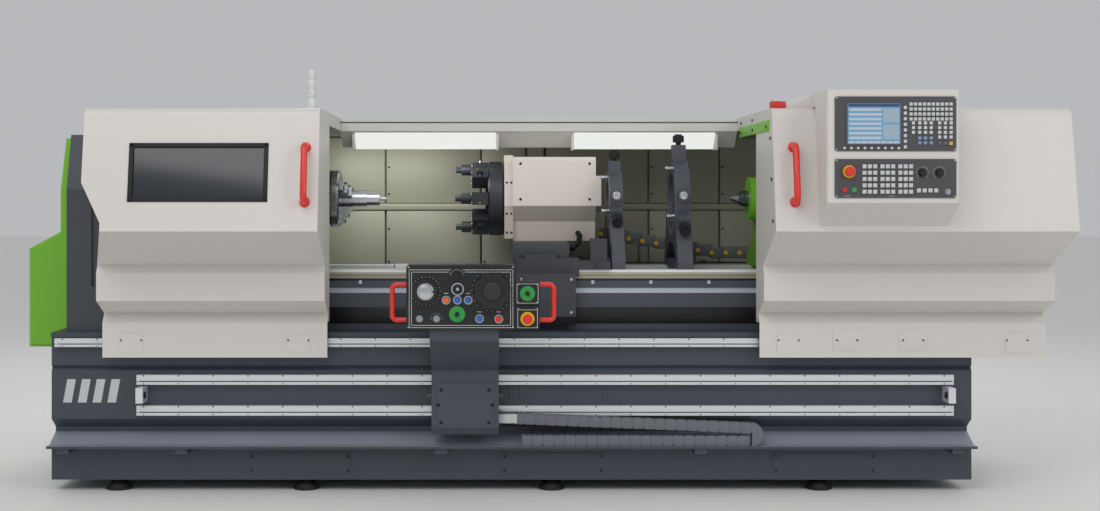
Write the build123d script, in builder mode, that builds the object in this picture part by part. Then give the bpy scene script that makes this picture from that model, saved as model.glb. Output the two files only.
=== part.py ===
from build123d import *
from math import cos, hypot, pi, radians, sin
import os

# Flat-bed turning lathe, two metres between centres. Millimetres, +Z up.
# X runs along the spindle towards the tailstock, the operator stands at -Y, the floor is z = 0.
# x = 0 is the middle of the machine's length and y = 0 lies on the spindle axis.

os.makedirs("parts", exist_ok=True)

# Base casting
base_left = -1973
base_length = 3863
base_front = -400
base_rear = 700
base_top = 667
box_height = 142
box_bottom = 48
ledge_front = -482
ledge_strip = 55
ledge_rise = 51
ledge_edge = 10
recess_top = 303
recess_depth = 60
recess_slope = 40
plate_width = 430
plate_low = 26
plate_high = 112
groove_z = 518
groove_size = 12
lip_height = 20
lip_depth = 10

# Bed and ways
bed_left = -1000
bed_right = 1800
bed_front = -240
bed_rear = 240
bed_top = 923
way_height = 22
way_overhang = 14
way_width = 90
bed_wall = 60

# Spindle line
axis_z = 1228
chuck_dia = 250
chuck_length = 85
chuck_face = -800
spindle_bore = 80
clearance = 0.3
gap = 2

# Machine panels
sheet = 3
wall_y = 640
wall_thick = 30
beam_front = 90
beam_bottom = 1533
cover_top = 1590

# Sliding covers: the same cross-section on both sides
cover_top_y = -740
cover_belly_y = -830
cover_belly_z = 1100
crease_y = -550
crease_z = 955
bulge_y = -570
bulge_top_z = 925
bulge_bottom_z = 810
band_y = -440
band_z = 750
ledge_top_z = 712
skirt_y = -470
skirt_bottom = 568
cover_sheet = 5
roof_rear = 87
left_cover_x = -1742
left_cover_width = 934
left_chamfer = 80
left_chamfer_z = 160
right_cover_x = 988
right_cover_width = 1189
flange_depth = 354
flange_thick = 30
roof_drop = 55

# Feet, rails and stops
foot_radius = 55
foot_height = 22
foot_stem = 18
rail_front = -430
rail_height = 41
rail_inset_left = 363
rail_inset_right = 83
upper_rail_z = 450
lower_rail_z = 321
cover_rail_z = 608
cover_rail_height = 36
stop_front = -490
stop_z = 380

# Headstock, left end, rear and top
headstock_length = 640
nose_length = 60
spindle_radius = 75
cabinet_inset = 57
cabinet_front = -380
wall_inset = 60
cabinet_fold_z = 1269
cabinet_top = 1500
guard_reach = 204
guard_bottom = 571
wall_column_x = 50
rear_inset_left = 773
rear_inset_right = 390
rear_y = 960
rear_top = 1500
beam_overhang = 260
lamp_depth = 14
tower_inset = 796
tower_y = 140
tower_base = 94
lens_height = 40

# Window, pull handles and the control box on the right cover
window_inset = 196
window_width = 527
window_height = 213
window_drop = 156
glass = 8
pull_length = 220
pull_radius = 14
pull_reach = 55
left_pull_inset = 52
right_pull_inset = 78
pull_drop = 272
box_inset = 170
box_width = 508
box_front = -960
box_top = 1646
box_base = 1213

# Panels with keys and controls
plate_thick = 5
key_size = 12
key_rise = 3
hole_depth = 14
stem_radius = 6
stem_reach = 4
press = 4
display_width = 464
display_height = 209
display_z = 1515
machine_height = 149
machine_z = 1306
panel_offset = 7

# Handwheel panel and its carriage
apron_left = -373
apron_right = -96
apron_front = -520
apron_back = -448
apron_bottom = 252
apron_shoulder = 515
apron_neck = 680
apron_sheet = 6
runner_length = 80
runner_wall = 9
pendant_left = -466
pendant_right = -31
pendant_front = -720
pendant_back = -600
pendant_base = 707
pendant_top = 964
side_box_right = 66
side_box_split = 802
grip_radius = 10.5
grip_reach = 58
grip_bend = 12
grip_top = 884
grip_bottom = 742

# Cable chain of the handwheel panel
chain_front = -476
chain_back = -434
chain_height = 44
chain_pitch = 45
chain_gap = 8
chain_run_length = 958
chain_floor = 201
chain_fixed_x = -3

# Saddle, cross slide and turret
saddle_left = -24
saddle_right = 250
saddle_top = 972
wing_right = 385
slide_left = -32
slide_right = 208
slide_top = 1037
slide_front = -250
slide_rear = 440
dove_centre = 84
dove_width = 128
dove_height = 18
turret_y = 230
turret_radius = 170
turret_left = -141
turret_right = -68
stations = 8
holder_length = 72
holder_inner = 96
holder_outer = 166
holder_width = 58
shank = 25
tool_tip = 186

# Chuck and test piece
jaw_length = 55
jaw_width = 40
jaw_outer = 112
piece_radius = 36

# Tailstock
tailstock_left = 1060
tailstock_length = 420
barrel_radius = 95
quill_radius = 36
quill_nose = 990
centre_tip = 931

# Steady rests
rest_foot = 34
quill_bore = 12
rest_one_x = 393
rest_one_width = 58
rest_one_radius = 118
rest_two_x = 676
rest_two_width = 66
rest_two_radius = 168

# Sizes that follow from the ones above
base_right = base_left + base_length
recess_y = base_front + recess_depth
rail_left = base_left + rail_inset_left
rail_right = base_right - rail_inset_right
cabinet_left = base_left + cabinet_inset
guard_left = base_left - guard_reach
rear_left = base_left + rear_inset_left
rear_right = base_right - rear_inset_right
left_cover_right = left_cover_x + left_cover_width
right_cover_right = right_cover_x + right_cover_width
left_pull_x = left_cover_right - left_pull_inset
right_pull_x = right_cover_x + right_pull_inset
window_left = left_cover_x + window_inset
box_left = right_cover_x + box_inset
panel_x = box_left + box_width / 2 + panel_offset
beam_left = left_cover_x
beam_right = base_right + beam_overhang
tower_x = left_cover_x + tower_inset
chain_bend_x = chain_fixed_x + chain_run_length
front_way = -bed_rear - way_overhang
pendant_x = (pendant_left + pendant_right) / 2
pendant_z = (pendant_base + pendant_top) / 2
panel_front = box_front - plate_thick
headstock_left = bed_left - headstock_length


def block(x0, x1, y0, y1, z0, z1, mode=Mode.ADD):
    """A rectangular block between two corners."""
    with BuildSketch(Plane(((x0 + x1) / 2, (y0 + y1) / 2, z0))) as outline:
        Rectangle(x1 - x0, y1 - y0)
    extrude(outline.sketch, amount=z1 - z0, mode=mode)


def prism_x(points, x0, x1, mode=Mode.ADD):
    """An outline in (y, z) carried along X."""
    with BuildSketch(Plane.YZ.offset(x0)) as outline:
        with BuildLine():
            Polyline(points, close=True)
        make_face()
    extrude(outline.sketch, amount=x1 - x0, mode=mode)


def prism_y(points, y0, y1, mode=Mode.ADD):
    """An outline in (x, z) carried along Y."""
    plane = Plane(origin=(0, y0, 0), x_dir=(1, 0, 0), z_dir=(0, -1, 0))
    with BuildSketch(plane) as outline:
        with BuildLine():
            Polyline(points, close=True)
        make_face()
    extrude(outline.sketch, amount=y0 - y1, mode=mode)


def rod(start, direction, radius, length, mode=Mode.ADD, inner=0):
    """A round bar or, with an inner radius, a tube, from a start point."""
    with BuildSketch(Plane(origin=start, z_dir=direction)) as outline:
        Circle(radius)
        if inner:
            Circle(inner, mode=Mode.SUBTRACT)
    extrude(outline.sketch, amount=length, mode=mode)


def post(start, direction, radius, length, sides, mode=Mode.ADD):
    """A bar with flat sides from a start point."""
    with BuildSketch(Plane(origin=start, z_dir=direction)) as outline:
        RegularPolygon(radius, sides)
    extrude(outline.sketch, amount=length, mode=mode)


def rounded_box(x0, x1, y0, y1, z0, z1, radius, mode=Mode.ADD):
    """A block whose four edges along Y are rounded."""
    plane = Plane(origin=((x0 + x1) / 2, y0, (z0 + z1) / 2), x_dir=(1, 0, 0), z_dir=(0, -1, 0))
    with BuildSketch(plane) as outline:
        RectangleRounded(x1 - x0, z1 - z0, radius)
    extrude(outline.sketch, amount=y0 - y1, mode=mode)


def dome(centre, direction, radius, height, mode=Mode.ADD):
    """A push-button cap: a short round bar with a chamfered rim."""
    plane = Plane(origin=centre, z_dir=direction)
    rim = min(radius, height) * 0.35
    with BuildSketch(Plane.XZ) as outline:
        with BuildLine():
            Polyline((0, height), (0, 0), (radius, 0), (radius, height - rim), (radius - rim, height), close=True)
        make_face()
    cap = revolve(outline.sketch, axis=Axis.Z, mode=Mode.PRIVATE)
    add(plane.location * cap, mode=mode)


def save(part, label):
    """Name a finished piece and write its STEP file."""
    part.label = label
    export_step(part, f"parts/{label}.step")


# Base: a long cast box with a recess above a lower box, a top lip and a V groove along its front
with BuildPart() as base_casting:
    prism_x(
        [
            (base_front, base_top),
            (base_front, recess_top),
            (recess_y, recess_top - recess_slope),
            (recess_y, box_bottom + box_height),
            (base_front, box_bottom + box_height),
            (base_front, box_bottom),
            (base_rear, box_bottom),
            (base_rear, base_top),
        ],
        base_left,
        base_right,
    )
    block(base_left, base_right, base_front - lip_depth, base_front, base_top - lip_height, base_top)
    groove = [
        (base_front - 1, groove_z + groove_size),
        (base_front + groove_size, groove_z),
        (base_front - 1, groove_z - groove_size),
    ]
    prism_x(groove, base_left - 1, base_right + 1, mode=Mode.SUBTRACT)
    ledge_z = box_bottom + box_height
    prism_x(
        [
            (ledge_front, ledge_z),
            (ledge_front, ledge_z + ledge_edge),
            (ledge_front + ledge_strip, ledge_z + ledge_edge),
            (recess_y, ledge_z + ledge_rise),
            (recess_y, ledge_z),
        ],
        base_left,
        base_right,
    )
    for share in (0.27, 0.545, 0.84):
        x = base_left + base_length * share
        block(x - plate_width / 2, x + plate_width / 2, base_front - sheet, base_front, box_bottom + plate_low, box_bottom + plate_high)
    for share in (0.017, 0.145, 0.424, 0.703, 0.98):
        x = base_left + base_length * share
        block(x - 25, x + 25, ledge_front + 8, base_front, ledge_z - 22, ledge_z)
save(base_casting.part, "base_casting")

with BuildPart() as levelling_feet:
    for share in (0.07, 0.275, 0.544, 0.837):
        for y in (base_front + 60, base_rear - 60):
            foot = (base_left + base_length * share, y, 0)
            post(foot, (0, 0, 1), foot_radius, foot_height, 12)
            post(foot, (0, 0, 1), foot_stem, box_bottom, 6)
save(levelling_feet.part, "levelling_feet")

# Bed: two longitudinal walls with ways, tied by cross ribs so that chips fall between them
with BuildPart() as bed:
    for side in (-1, 1):
        outer = side * bed_rear
        inner = side * (bed_rear - bed_wall)
        block(bed_left, bed_right, min(outer, inner), max(outer, inner), base_top, bed_top - way_height)
        outer = side * (bed_rear + way_overhang)
        inner = side * (bed_rear + way_overhang - way_width)
        block(bed_left, bed_right, min(outer, inner), max(outer, inner), bed_top - way_height, bed_top)
    for x in range(-900, 1800, 450):
        block(x, x + bed_wall, -bed_rear + bed_wall, bed_rear - bed_wall, base_top, bed_top - 90)
    block(bed_left, bed_right, bed_front - 8, bed_front, bed_top - 78, bed_top - 48)
save(bed.part, "bed")

# Guide rails: one for the covers, two for the handwheel panel, each with a groove along it
with BuildPart() as guide_rails:
    for z, height, x0, x1 in (
        (cover_rail_z, cover_rail_height, base_left + 20, base_right - 10),
        (upper_rail_z, rail_height, rail_left, rail_right),
        (lower_rail_z, rail_height, rail_left, rail_right),
    ):
        block(x0, x1, rail_front, base_front, z, z + height)
        block(x0, x1, rail_front, rail_front + 6, z + height * 0.28, z + height * 0.4, Mode.SUBTRACT)
    for x in (rail_left + 10, rail_right - 40):
        block(x, x + 30, stop_front, base_front, stop_z, stop_z + 63)
save(guide_rails.part, "guide_rails")

# Headstock: a cast housing with the spindle nose on its right face
with BuildPart() as headstock:
    prism_x(
        [(-320, base_top), (-320, 1380), (-230, 1490), (230, 1490), (320, 1380), (320, base_top)],
        headstock_left,
        bed_left,
    )
    rod((bed_left, 0, axis_z), (1, 0, 0), 165, nose_length)
    rod((headstock_left - 1, 0, axis_z), (1, 0, 0), spindle_radius + gap, headstock_length + nose_length + 2, Mode.SUBTRACT)
save(headstock.part, "headstock")

# Left end cabinet: a sheet housing with a sloped upper face and a recessed panel
with BuildPart() as end_cabinet:
    prism_x(
        [
            (cabinet_front, base_top),
            (cabinet_front, cabinet_fold_z),
            (cabinet_front + 70, cabinet_top),
            (base_rear - wall_inset, cabinet_top),
            (base_rear - wall_inset, base_top),
        ],
        cabinet_left,
        headstock_left,
    )
    block(cabinet_left + 105, cabinet_left + 145, cabinet_front - 1, cabinet_front + 12, base_top + 193, cabinet_fold_z - 79, Mode.SUBTRACT)
save(end_cabinet.part, "end_cabinet")

# Belt guard on the left end
with BuildPart() as belt_guard:
    prism_y(
        [
            (base_left, guard_bottom),
            (guard_left, guard_bottom),
            (guard_left, 1006),
            (guard_left + 138, 1081),
            (guard_left + 138, 1265),
            (guard_left + 164, 1495),
            (cabinet_left, 1495),
            (cabinet_left, base_top),
            (base_left, base_top),
        ],
        -50,
        420,
    )
    front_edges = belt_guard.edges().group_by(Axis.Y)[0]
    chamfer(front_edges.filter_by(lambda edge: edge.center().X < guard_left + 166), length=12)
save(belt_guard.part, "belt_guard")

# Rear housing: the back wall with folded seams, its roof, and the cabinet behind it
with BuildPart() as rear_housing:
    block(bed_left, base_right, wall_y, wall_y + wall_thick, base_top, cover_top)
    block(wall_column_x, wall_column_x + 78, wall_y - 40, wall_y, base_top, beam_bottom)
    for x in (-930, -180, 640, 1300):
        block(x, x + 8, wall_y - 6, wall_y, base_top, beam_bottom)
    block(-930, 1300, wall_y - 10, wall_y, 1180, 1196)
    block(-930, 1300, wall_y - 6, wall_y, 1262, 1270)
    block(rear_left, rear_right, base_rear, rear_y, 140, rear_top)
    block(bed_left, base_right, wall_y + wall_thick, base_rear, rear_top - 60, rear_top)
    block(bed_left, base_right, wall_y + wall_thick, base_rear, base_top, base_top + 30)
save(rear_housing.part, "rear_housing")

# Top beam with the covers' track, the sloped lamp panel and its end gussets
with BuildPart() as top_beam:
    block(beam_left, beam_right, beam_front, wall_y, cover_top - 30, cover_top + 2)
    block(beam_left, beam_right, beam_front, beam_front + 30, beam_bottom, cover_top - 30)
    block(beam_left, beam_right, beam_front - 1, beam_front + 4, cover_top - 22, cover_top - 15, Mode.SUBTRACT)
    prism_x(
        [(beam_front + 4, beam_bottom), (beam_front + 90, 1462), (beam_front + 96, 1470), (beam_front + 30, beam_bottom)],
        -808,
        988,
    )
    for x in (-808, 84, 980):
        prism_x([(beam_front + 96, 1470), (beam_front + 30, beam_bottom), (wall_y - 60, beam_bottom), (wall_y - 60, 1500)], x, x + 8)
save(top_beam.part, "top_beam")

with BuildPart() as lamps:
    for x in (-745, 249):
        prism_x(
            [
                (beam_front + 12, beam_bottom - lamp_depth),
                (beam_front + 82, 1468 - lamp_depth),
                (beam_front + 85, 1466),
                (beam_front + 10.5, beam_bottom - 6),
            ],
            x,
            x + 640,
        )
save(lamps.part, "lamps")

with BuildPart() as signal_tower:
    foot_z = cover_top + 2
    post((tower_x, tower_y, foot_z), (0, 0, 1), 42, 8, 12)
    post((tower_x, tower_y, foot_z), (0, 0, 1), 24, tower_base, 12)
    post((tower_x, tower_y, foot_z), (0, 0, 1), 20, tower_base + 3 * lens_height + 6, 12)
    for index in range(3):
        lens_z = foot_z + tower_base + index * (lens_height + 2)
        post((tower_x, tower_y, lens_z), (0, 0, 1), 22, lens_height, 12)
save(signal_tower.part, "signal_tower")

# Sliding covers: folded sheet shells that hang from the beam and run along the base
front_run = hypot(cover_top_y - cover_belly_y, cover_top - cover_belly_z)
front_normal = Vector(0, cover_belly_z - cover_top, cover_top_y - cover_belly_y).normalized()
front_face = Plane(origin=(0, cover_top_y, cover_top), x_dir=(1, 0, 0), z_dir=front_normal)


def on_front(x, drop, out=0):
    """A point on a cover's front face, measured down the face from its top edge."""
    return front_face.from_local_coords(Vector(x, -drop, out))


def front_panel(x, drop, width, height, thick, radius, mode=Mode.ADD):
    """A plate on the front face, from a corner at its top left. A negative thickness goes inwards."""
    centre = on_front(x + width / 2, drop + height / 2)
    with BuildSketch(Plane(origin=centre, x_dir=(1, 0, 0), z_dir=front_normal)) as outline:
        RectangleRounded(width, height, radius)
    extrude(outline.sketch, amount=thick, mode=mode)


def cover_section(x0):
    """The cover's full section, rounded along its top front edge."""
    back = cover_top_y + flange_depth
    with BuildSketch(Plane.YZ.offset(x0)) as section:
        with BuildLine():
            Polyline(
                (back, cover_top),
                (cover_top_y, cover_top),
                (cover_belly_y, cover_belly_z),
                (crease_y, crease_z),
                (bulge_y, bulge_top_z),
                (bulge_y, bulge_bottom_z),
                (band_y, band_z),
                (skirt_y, ledge_top_z),
                (back, ledge_top_z),
                close=True,
            )
        make_face()
        fillet(section.vertices().filter_by(lambda v: v.Y > cover_top - 1 and v.X < back - 1), radius=40)
    return section.sketch


def cover_body(x0, width, inner_side, corner_cuts):
    """A cover: its shell, the roof that reaches back to the beam, its skirt and guide shoes."""
    x1 = x0 + width
    back = cover_top_y + flange_depth
    extrude(cover_section(x0), amount=width)
    for points in corner_cuts:
        prism_y(points, cover_belly_y - 10, back + 1, Mode.SUBTRACT)
    current = BuildPart._get_context()
    open_faces = current.faces().filter_by(Axis.Y).sort_by(Axis.Y)[-1:]
    open_faces += current.faces().filter_by(Axis.Z).sort_by(Axis.Z)[:1]
    offset(amount=-cover_sheet, openings=open_faces)
    block(x0, x1, back, roof_rear, cover_top - cover_sheet, cover_top)
    edge = (x1 - cover_sheet, x1) if inner_side > 0 else (x0, x0 + cover_sheet)
    block(*edge, back, roof_rear, cover_top - roof_drop, cover_top - cover_sheet)
    block(x0, x1, skirt_y, skirt_y + cover_sheet, skirt_bottom, ledge_top_z + 1)
    for x in (x0 + 60, x1 - 180):
        block(x, x + 120, skirt_y + cover_sheet, rail_front - 1, cover_rail_z - 10, cover_rail_z + 30)
        block(x + 12, x + 108, skirt_y - sheet, skirt_y, skirt_bottom + 20, skirt_bottom + 102)


def pull_handle(x):
    """A round bar handle that stands off the front face on two bent ends."""
    half = pull_length / 2
    bend = pull_radius * 1.2
    stations = ((-half, 0), (-half, pull_reach - bend), (bend - half, pull_reach), (half - bend, pull_reach), (half, pull_reach - bend), (half, 0))
    with BuildLine() as path:
        Polyline(*[on_front(x, pull_drop + drop, out) for drop, out in stations])
    with BuildSketch(Plane(origin=on_front(x, pull_drop - half), z_dir=front_normal)) as section:
        RegularPolygon(pull_radius, 8)
    sweep(section.sketch, path=path.line, transition=Transition.RIGHT)


left_cuts = [
    [
        (left_cover_x - 1, cover_belly_z + left_chamfer_z + 34),
        (left_cover_x + left_chamfer, cover_belly_z + 33),
        (left_cover_x + left_chamfer, cover_belly_z),
        (left_cover_x - 1, crease_z),
    ]
]
with BuildPart() as left_cover:
    cover_body(left_cover_x, left_cover_width, 1, left_cuts)
    front_panel(window_left, window_drop, window_width, window_height, 20, 14, Mode.SUBTRACT)
    front_panel(window_left, window_drop, window_width, window_height, -20, 14, Mode.SUBTRACT)
save(left_cover.part, "left_cover")

with BuildPart() as left_window:
    edge = 22
    centre = on_front(window_left + window_width / 2, window_drop + window_height / 2, -cover_sheet)
    with BuildSketch(Plane(origin=centre, x_dir=(1, 0, 0), z_dir=front_normal)) as pane:
        RectangleRounded(window_width + 2 * edge, window_height + 2 * edge, 20)
    extrude(pane.sketch, amount=-glass)
save(left_window.part, "left_window")

with BuildPart() as left_pull:
    pull_handle(left_pull_x)
save(left_pull.part, "left_pull")

with BuildPart() as right_cover:
    cover_body(right_cover_x, right_cover_width, -1, [])
    prism_y(
        [(right_cover_x + 4, cover_top), (box_left, box_top), (box_left, cover_top)],
        cover_top_y + 50,
        cover_top_y + 150,
    )
save(right_cover.part, "right_cover")

with BuildPart() as right_pull:
    pull_handle(right_pull_x)
save(right_pull.part, "right_pull")

# Control box on the right cover, its two panels and their keys


def key_rows(x0, z0, columns, rows, step_x, step_z, size=key_size):
    """Raised rows of keys. The place is the middle of the upper left key, and each row is one raised strip."""
    plane = Plane(origin=(panel_x, panel_front, 0), x_dir=(1, 0, 0), z_dir=(0, -1, 0))
    middle = x0 + (columns - 1) * step_x / 2
    with BuildSketch(plane) as keys:
        with Locations(*[(middle, z0 - row * step_z) for row in range(rows)]):
            Rectangle((columns - 1) * step_x + size, size)
    extrude(keys.sketch, amount=key_rise)


# Offsets from the middle of the machine panel
stop_place = (-179, 26)
feed_place = (167, 22)
speed_place = (102, 22)
switch_place = (199, -51)


def control_point(place, y):
    """A point in front of the machine panel."""
    return (panel_x + place[0], y, machine_z + place[1])


with BuildPart() as control_box:
    low = on_front(0, hypot(cover_top - box_base + 100, 80) * 0.985)
    high = on_front(0, 48)
    prism_x(
        [
            (box_front, box_top),
            (box_front, box_base),
            (low.Y, low.Z),
            (high.Y, high.Z),
            (high.Y, cover_top + gap),
            (high.Y + 130, cover_top + gap),
            (high.Y + 130, box_top),
        ],
        box_left,
        box_left + box_width,
    )
    chamfer(control_box.edges().filter_by(Axis.Z).group_by(Axis.Y)[0], length=6)
    rod(control_point(stop_place, box_front), (0, 1, 0), stem_radius + clearance, hole_depth, Mode.SUBTRACT)
save(control_box.part, "control_box")

with BuildPart() as display_panel:
    rounded_box(
        panel_x - display_width / 2,
        panel_x + display_width / 2,
        panel_front,
        box_front,
        display_z - display_height / 2,
        display_z + display_height / 2,
        8,
    )
    block(panel_x - 192, panel_x + 26, panel_front - 3, panel_front, display_z - 84, display_z + 85)
    block(panel_x - 184, panel_x + 18, panel_front - 4, panel_front - 1, display_z - 77, display_z + 78, Mode.SUBTRACT)
    key_rows(36, display_z + 62, 1, 8, 0, 21.5)
    key_rows(-196, display_z - 93, 9, 1, 25.9, 0, size=9)
    key_rows(58, display_z + 75, 10, 4, 17, 19)
    key_rows(67, display_z + 3, 4, 3, 22, 18)
    key_rows(167, display_z + 3, 3, 4, 22, 18)
    key_rows(91, display_z - 55, 3, 2, 22, 18)
    key_rows(167, display_z - 75, 3, 1, 22, 18)
save(display_panel.part, "display_panel")

with BuildPart() as machine_panel:
    rounded_box(
        panel_x - display_width / 2,
        panel_x + display_width / 2,
        panel_front,
        box_front,
        machine_z - machine_height / 2,
        machine_z + machine_height / 2,
        8,
    )
    for first_key in (-120, -51.5, 17):
        key_rows(first_key, machine_z + 46, 3, 5, 20.5, 24.2, size=15)
    key_rows(-196, machine_z - 44, 1, 1, 0, 0, size=17)
    key_rows(-159, machine_z - 44, 1, 1, 0, 0, size=17)
    key_rows(88, machine_z - 46, 4, 1, 22, 0, size=15)
    post(control_point(stop_place, panel_front), (0, -1, 0), 25, 5, 16)
    for place in (stop_place, feed_place, speed_place, switch_place):
        start = control_point(place, panel_front - 10)
        rod(start, (0, 1, 0), stem_radius + clearance, plate_thick + 11, Mode.SUBTRACT)
save(machine_panel.part, "machine_panel")


def stop_button(centre):
    """A mushroom head on its stem. The centre is where the stem passes the panel's face, the head is towards -Y."""
    x, y, z = centre
    head = y - 16
    with BuildPart() as piece:
        rod((x, y + stem_reach, z), (0, -1, 0), stem_radius, stem_reach + 17)
        dome((x, head, z), (0, -1, 0), 19, 14)
    return piece.part


def round_knob(centre, radius, height, pointer):
    """A control knob on its stem, with a skirt, a grip and a raised pointer bar."""
    x, y, z = centre
    base = y - 3
    with BuildPart() as piece:
        rod((x, y + stem_reach, z), (0, -1, 0), stem_radius, stem_reach + 4)
        post((x, base, z), (0, -1, 0), radius, height * 0.35, 16)
        post((x, base, z), (0, -1, 0), radius * 0.78, height, 12)
        block(x - 2, x + 2, base - height - 2, base - height * 0.3, z, z + pointer)
    return piece.part


def lever(centre, length):
    """A short joystick: a thin stem and a grip."""
    x, y, z = centre
    with BuildPart() as piece:
        rod((x, y + stem_reach, z), (0, -1, 0), stem_radius - 1, stem_reach + length * 0.5)
        post((x, y - length * 0.45, z), (0, -1, 0), 9, length * 0.6, 12)
    return piece.part


save(stop_button(control_point(stop_place, panel_front)), "control_stop_button")
save(round_knob(control_point(feed_place, panel_front), 16, 16, 14), "feed_knob")
save(round_knob(control_point(speed_place, panel_front), 16, 16, 14), "speed_knob")
save(round_knob(control_point(switch_place, panel_front), 8, 12, 8), "key_switch")

# Carriage of the handwheel panel: a folded apron on four runner blocks, with bumpers at its ends
apron_mid = (apron_left + apron_right) / 2
with BuildPart() as apron:
    prism_x(
        [
            (apron_back, apron_bottom),
            (apron_front + 30, apron_bottom),
            (apron_front, apron_bottom + 35),
            (apron_front, apron_shoulder + 5),
            (pendant_front + 20, apron_neck - 20),
            (pendant_front + 20, pendant_base),
            (pendant_back, pendant_base),
            (pendant_back, apron_neck),
            (apron_back, apron_shoulder),
        ],
        apron_left,
        apron_right,
    )
    block(
        apron_left + apron_sheet,
        apron_right - apron_sheet,
        apron_front + apron_sheet,
        apron_back + 1,
        apron_bottom + 40,
        apron_shoulder - 10,
        Mode.SUBTRACT,
    )
    block(apron_left + 20, apron_right - 20, apron_front - 4, apron_front, 285, 468)
    for z in (upper_rail_z, lower_rail_z):
        for x in (apron_left + 20, apron_right - 20 - runner_length):
            block(x, x + runner_length, apron_front + 5, base_front - 2, z - runner_wall, z + rail_height + runner_wall)
            block(
                x - 1,
                x + runner_length + 1,
                rail_front - 0.5,
                base_front,
                z - 0.5,
                z + rail_height + 0.5,
                Mode.SUBTRACT,
            )
    for x in (apron_left - 18, apron_right):
        post((x, (apron_front + apron_back) / 2, stop_z + 31), (1, 0, 0), 13, 18, 8)
    block(apron_right - 1, apron_right + 16, apron_back - 20, chain_back, 290, 342)
save(apron.part, "apron")

# Handwheel panel: the box, two side boxes, dials and seats
left_wheel_place = (pendant_x - 139.5, pendant_z + 23.5)
right_wheel_place = (pendant_x + 125.5, pendant_z + 26.5)
selector_place = (pendant_x - 15.5, pendant_z + 83.5)
step_place = (pendant_x - 12.5, pendant_z + 32.5)
stick_place = (pendant_x - 14.5, pendant_z - 67.5)
side_stick_place = ((pendant_right + side_box_right) / 2, side_box_split + 48)
pendant_stop_place = ((pendant_right + side_box_right) / 2, pendant_base + 42)
button_places = {
    "button_orange": (pendant_x - 58.5, pendant_z - 11.5),
    "button_blue_left": (pendant_x - 13.5, pendant_z - 11.5),
    "button_blue_right": (pendant_x + 29.5, pendant_z - 11.5),
    "button_blue_low": (pendant_x + 74.5, pendant_z - 85.5),
    "button_red": (pendant_x + 151.5, pendant_z - 86.5),
}
button_radius = 14
button_stem = 10
wheel_shaft = 9
wheel_fit = 0.05

with BuildPart() as pendant_box:
    rounded_box(pendant_left, pendant_right, pendant_front, pendant_back, pendant_base, pendant_top, 10)
    block(pendant_left + 14, pendant_right - 12, pendant_front - 2, pendant_front, pendant_base + 4, pendant_top - 15)
    for z0, z1 in ((pendant_base, side_box_split - 3), (side_box_split, 896)):
        block(pendant_right, side_box_right, pendant_front + 5, pendant_back - 20, z0, z1)
    face = pendant_front - 2
    for place, radius, rise in (
        (selector_place, 36, 1.5),
        (step_place, 26, 10),
        (stick_place, 33, 3),
    ):
        post((place[0], face, place[1]), (0, -1, 0), radius, rise, 12)
    for place, radius in ((side_stick_place, 31), (pendant_stop_place, 29)):
        post((place[0], pendant_front + 5, place[1]), (0, -1, 0), radius, 4, 12)
    for x, z in (selector_place, stick_place):
        rod((x, face - 5, z), (0, 1, 0), stem_radius + clearance, 5 + hole_depth, Mode.SUBTRACT)
    for x, z in button_places.values():
        half = button_stem / 2 + clearance
        block(x - half, x + half, face - 1, face + hole_depth, z - half, z + half, Mode.SUBTRACT)
    for x, z in (side_stick_place, pendant_stop_place):
        rod((x, face - 5, z), (0, 1, 0), stem_radius + clearance, 12 + hole_depth, Mode.SUBTRACT)
    for x, z in (left_wheel_place, right_wheel_place):
        rod((x, face - 1, z), (0, 1, 0), wheel_shaft + wheel_fit, 40, Mode.SUBTRACT)
save(pendant_box.part, "pendant_box")

with BuildPart() as pendant_grips:
    for wall, side in ((pendant_left, -1), (side_box_right, 1)):
        y = pendant_front + 40
        reach = wall + side * grip_reach
        bend = reach - side * grip_bend
        with BuildLine() as path:
            Polyline(
                (wall, y, grip_top),
                (bend, y, grip_top),
                (reach, y, grip_top - grip_bend),
                (reach, y, grip_bottom + grip_bend),
                (bend, y, grip_bottom),
                (wall, y, grip_bottom),
            )
        with BuildSketch(Plane(origin=(wall, y, grip_top), z_dir=(side, 0, 0))) as section:
            RegularPolygon(grip_radius, 8)
        sweep(section.sketch, path=path.line, transition=Transition.RIGHT)
save(pendant_grips.part, "pendant_grips")


def handwheel(place, radius, width, lobes):
    """A hand knob on a shaft, with finger lobes around its rim and a raised hub."""
    x, z = place
    front = pendant_front - 2
    corners = []
    for index in range(3 * lobes):
        angle = 2 * pi * index / (3 * lobes)
        distance = radius * (0.9 if index % 3 == 0 else 1)
        corners.append((distance * cos(angle), distance * sin(angle)))
    with BuildPart() as piece:
        rod((x, front + 30, z), (0, -1, 0), wheel_shaft, 34)
        with BuildSketch(Plane(origin=(x, front - 4, z), x_dir=(1, 0, 0), z_dir=(0, -1, 0))) as rim:
            with BuildLine():
                Polyline(corners, close=True)
            make_face()
        extrude(rim.sketch, amount=width)
        post((x, front - 4 - width, z), (0, -1, 0), radius * 0.5, 6, 12)
        post((x + radius * 0.62, front - 4 - width, z), (0, -1, 0), radius * 0.09, 3, 8)
    return piece.part


def push_button(centre):
    """A round push button: a square stem that keeps it from turning, and its cap."""
    x, y, z = centre
    half = button_stem / 2
    with BuildPart() as piece:
        block(x - half, x + half, y - press - 5, y + stem_reach, z - half, z + half)
        post((x, y - press - 4, z), (0, -1, 0), button_radius - 2, 6, 16)
    return piece.part


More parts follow.
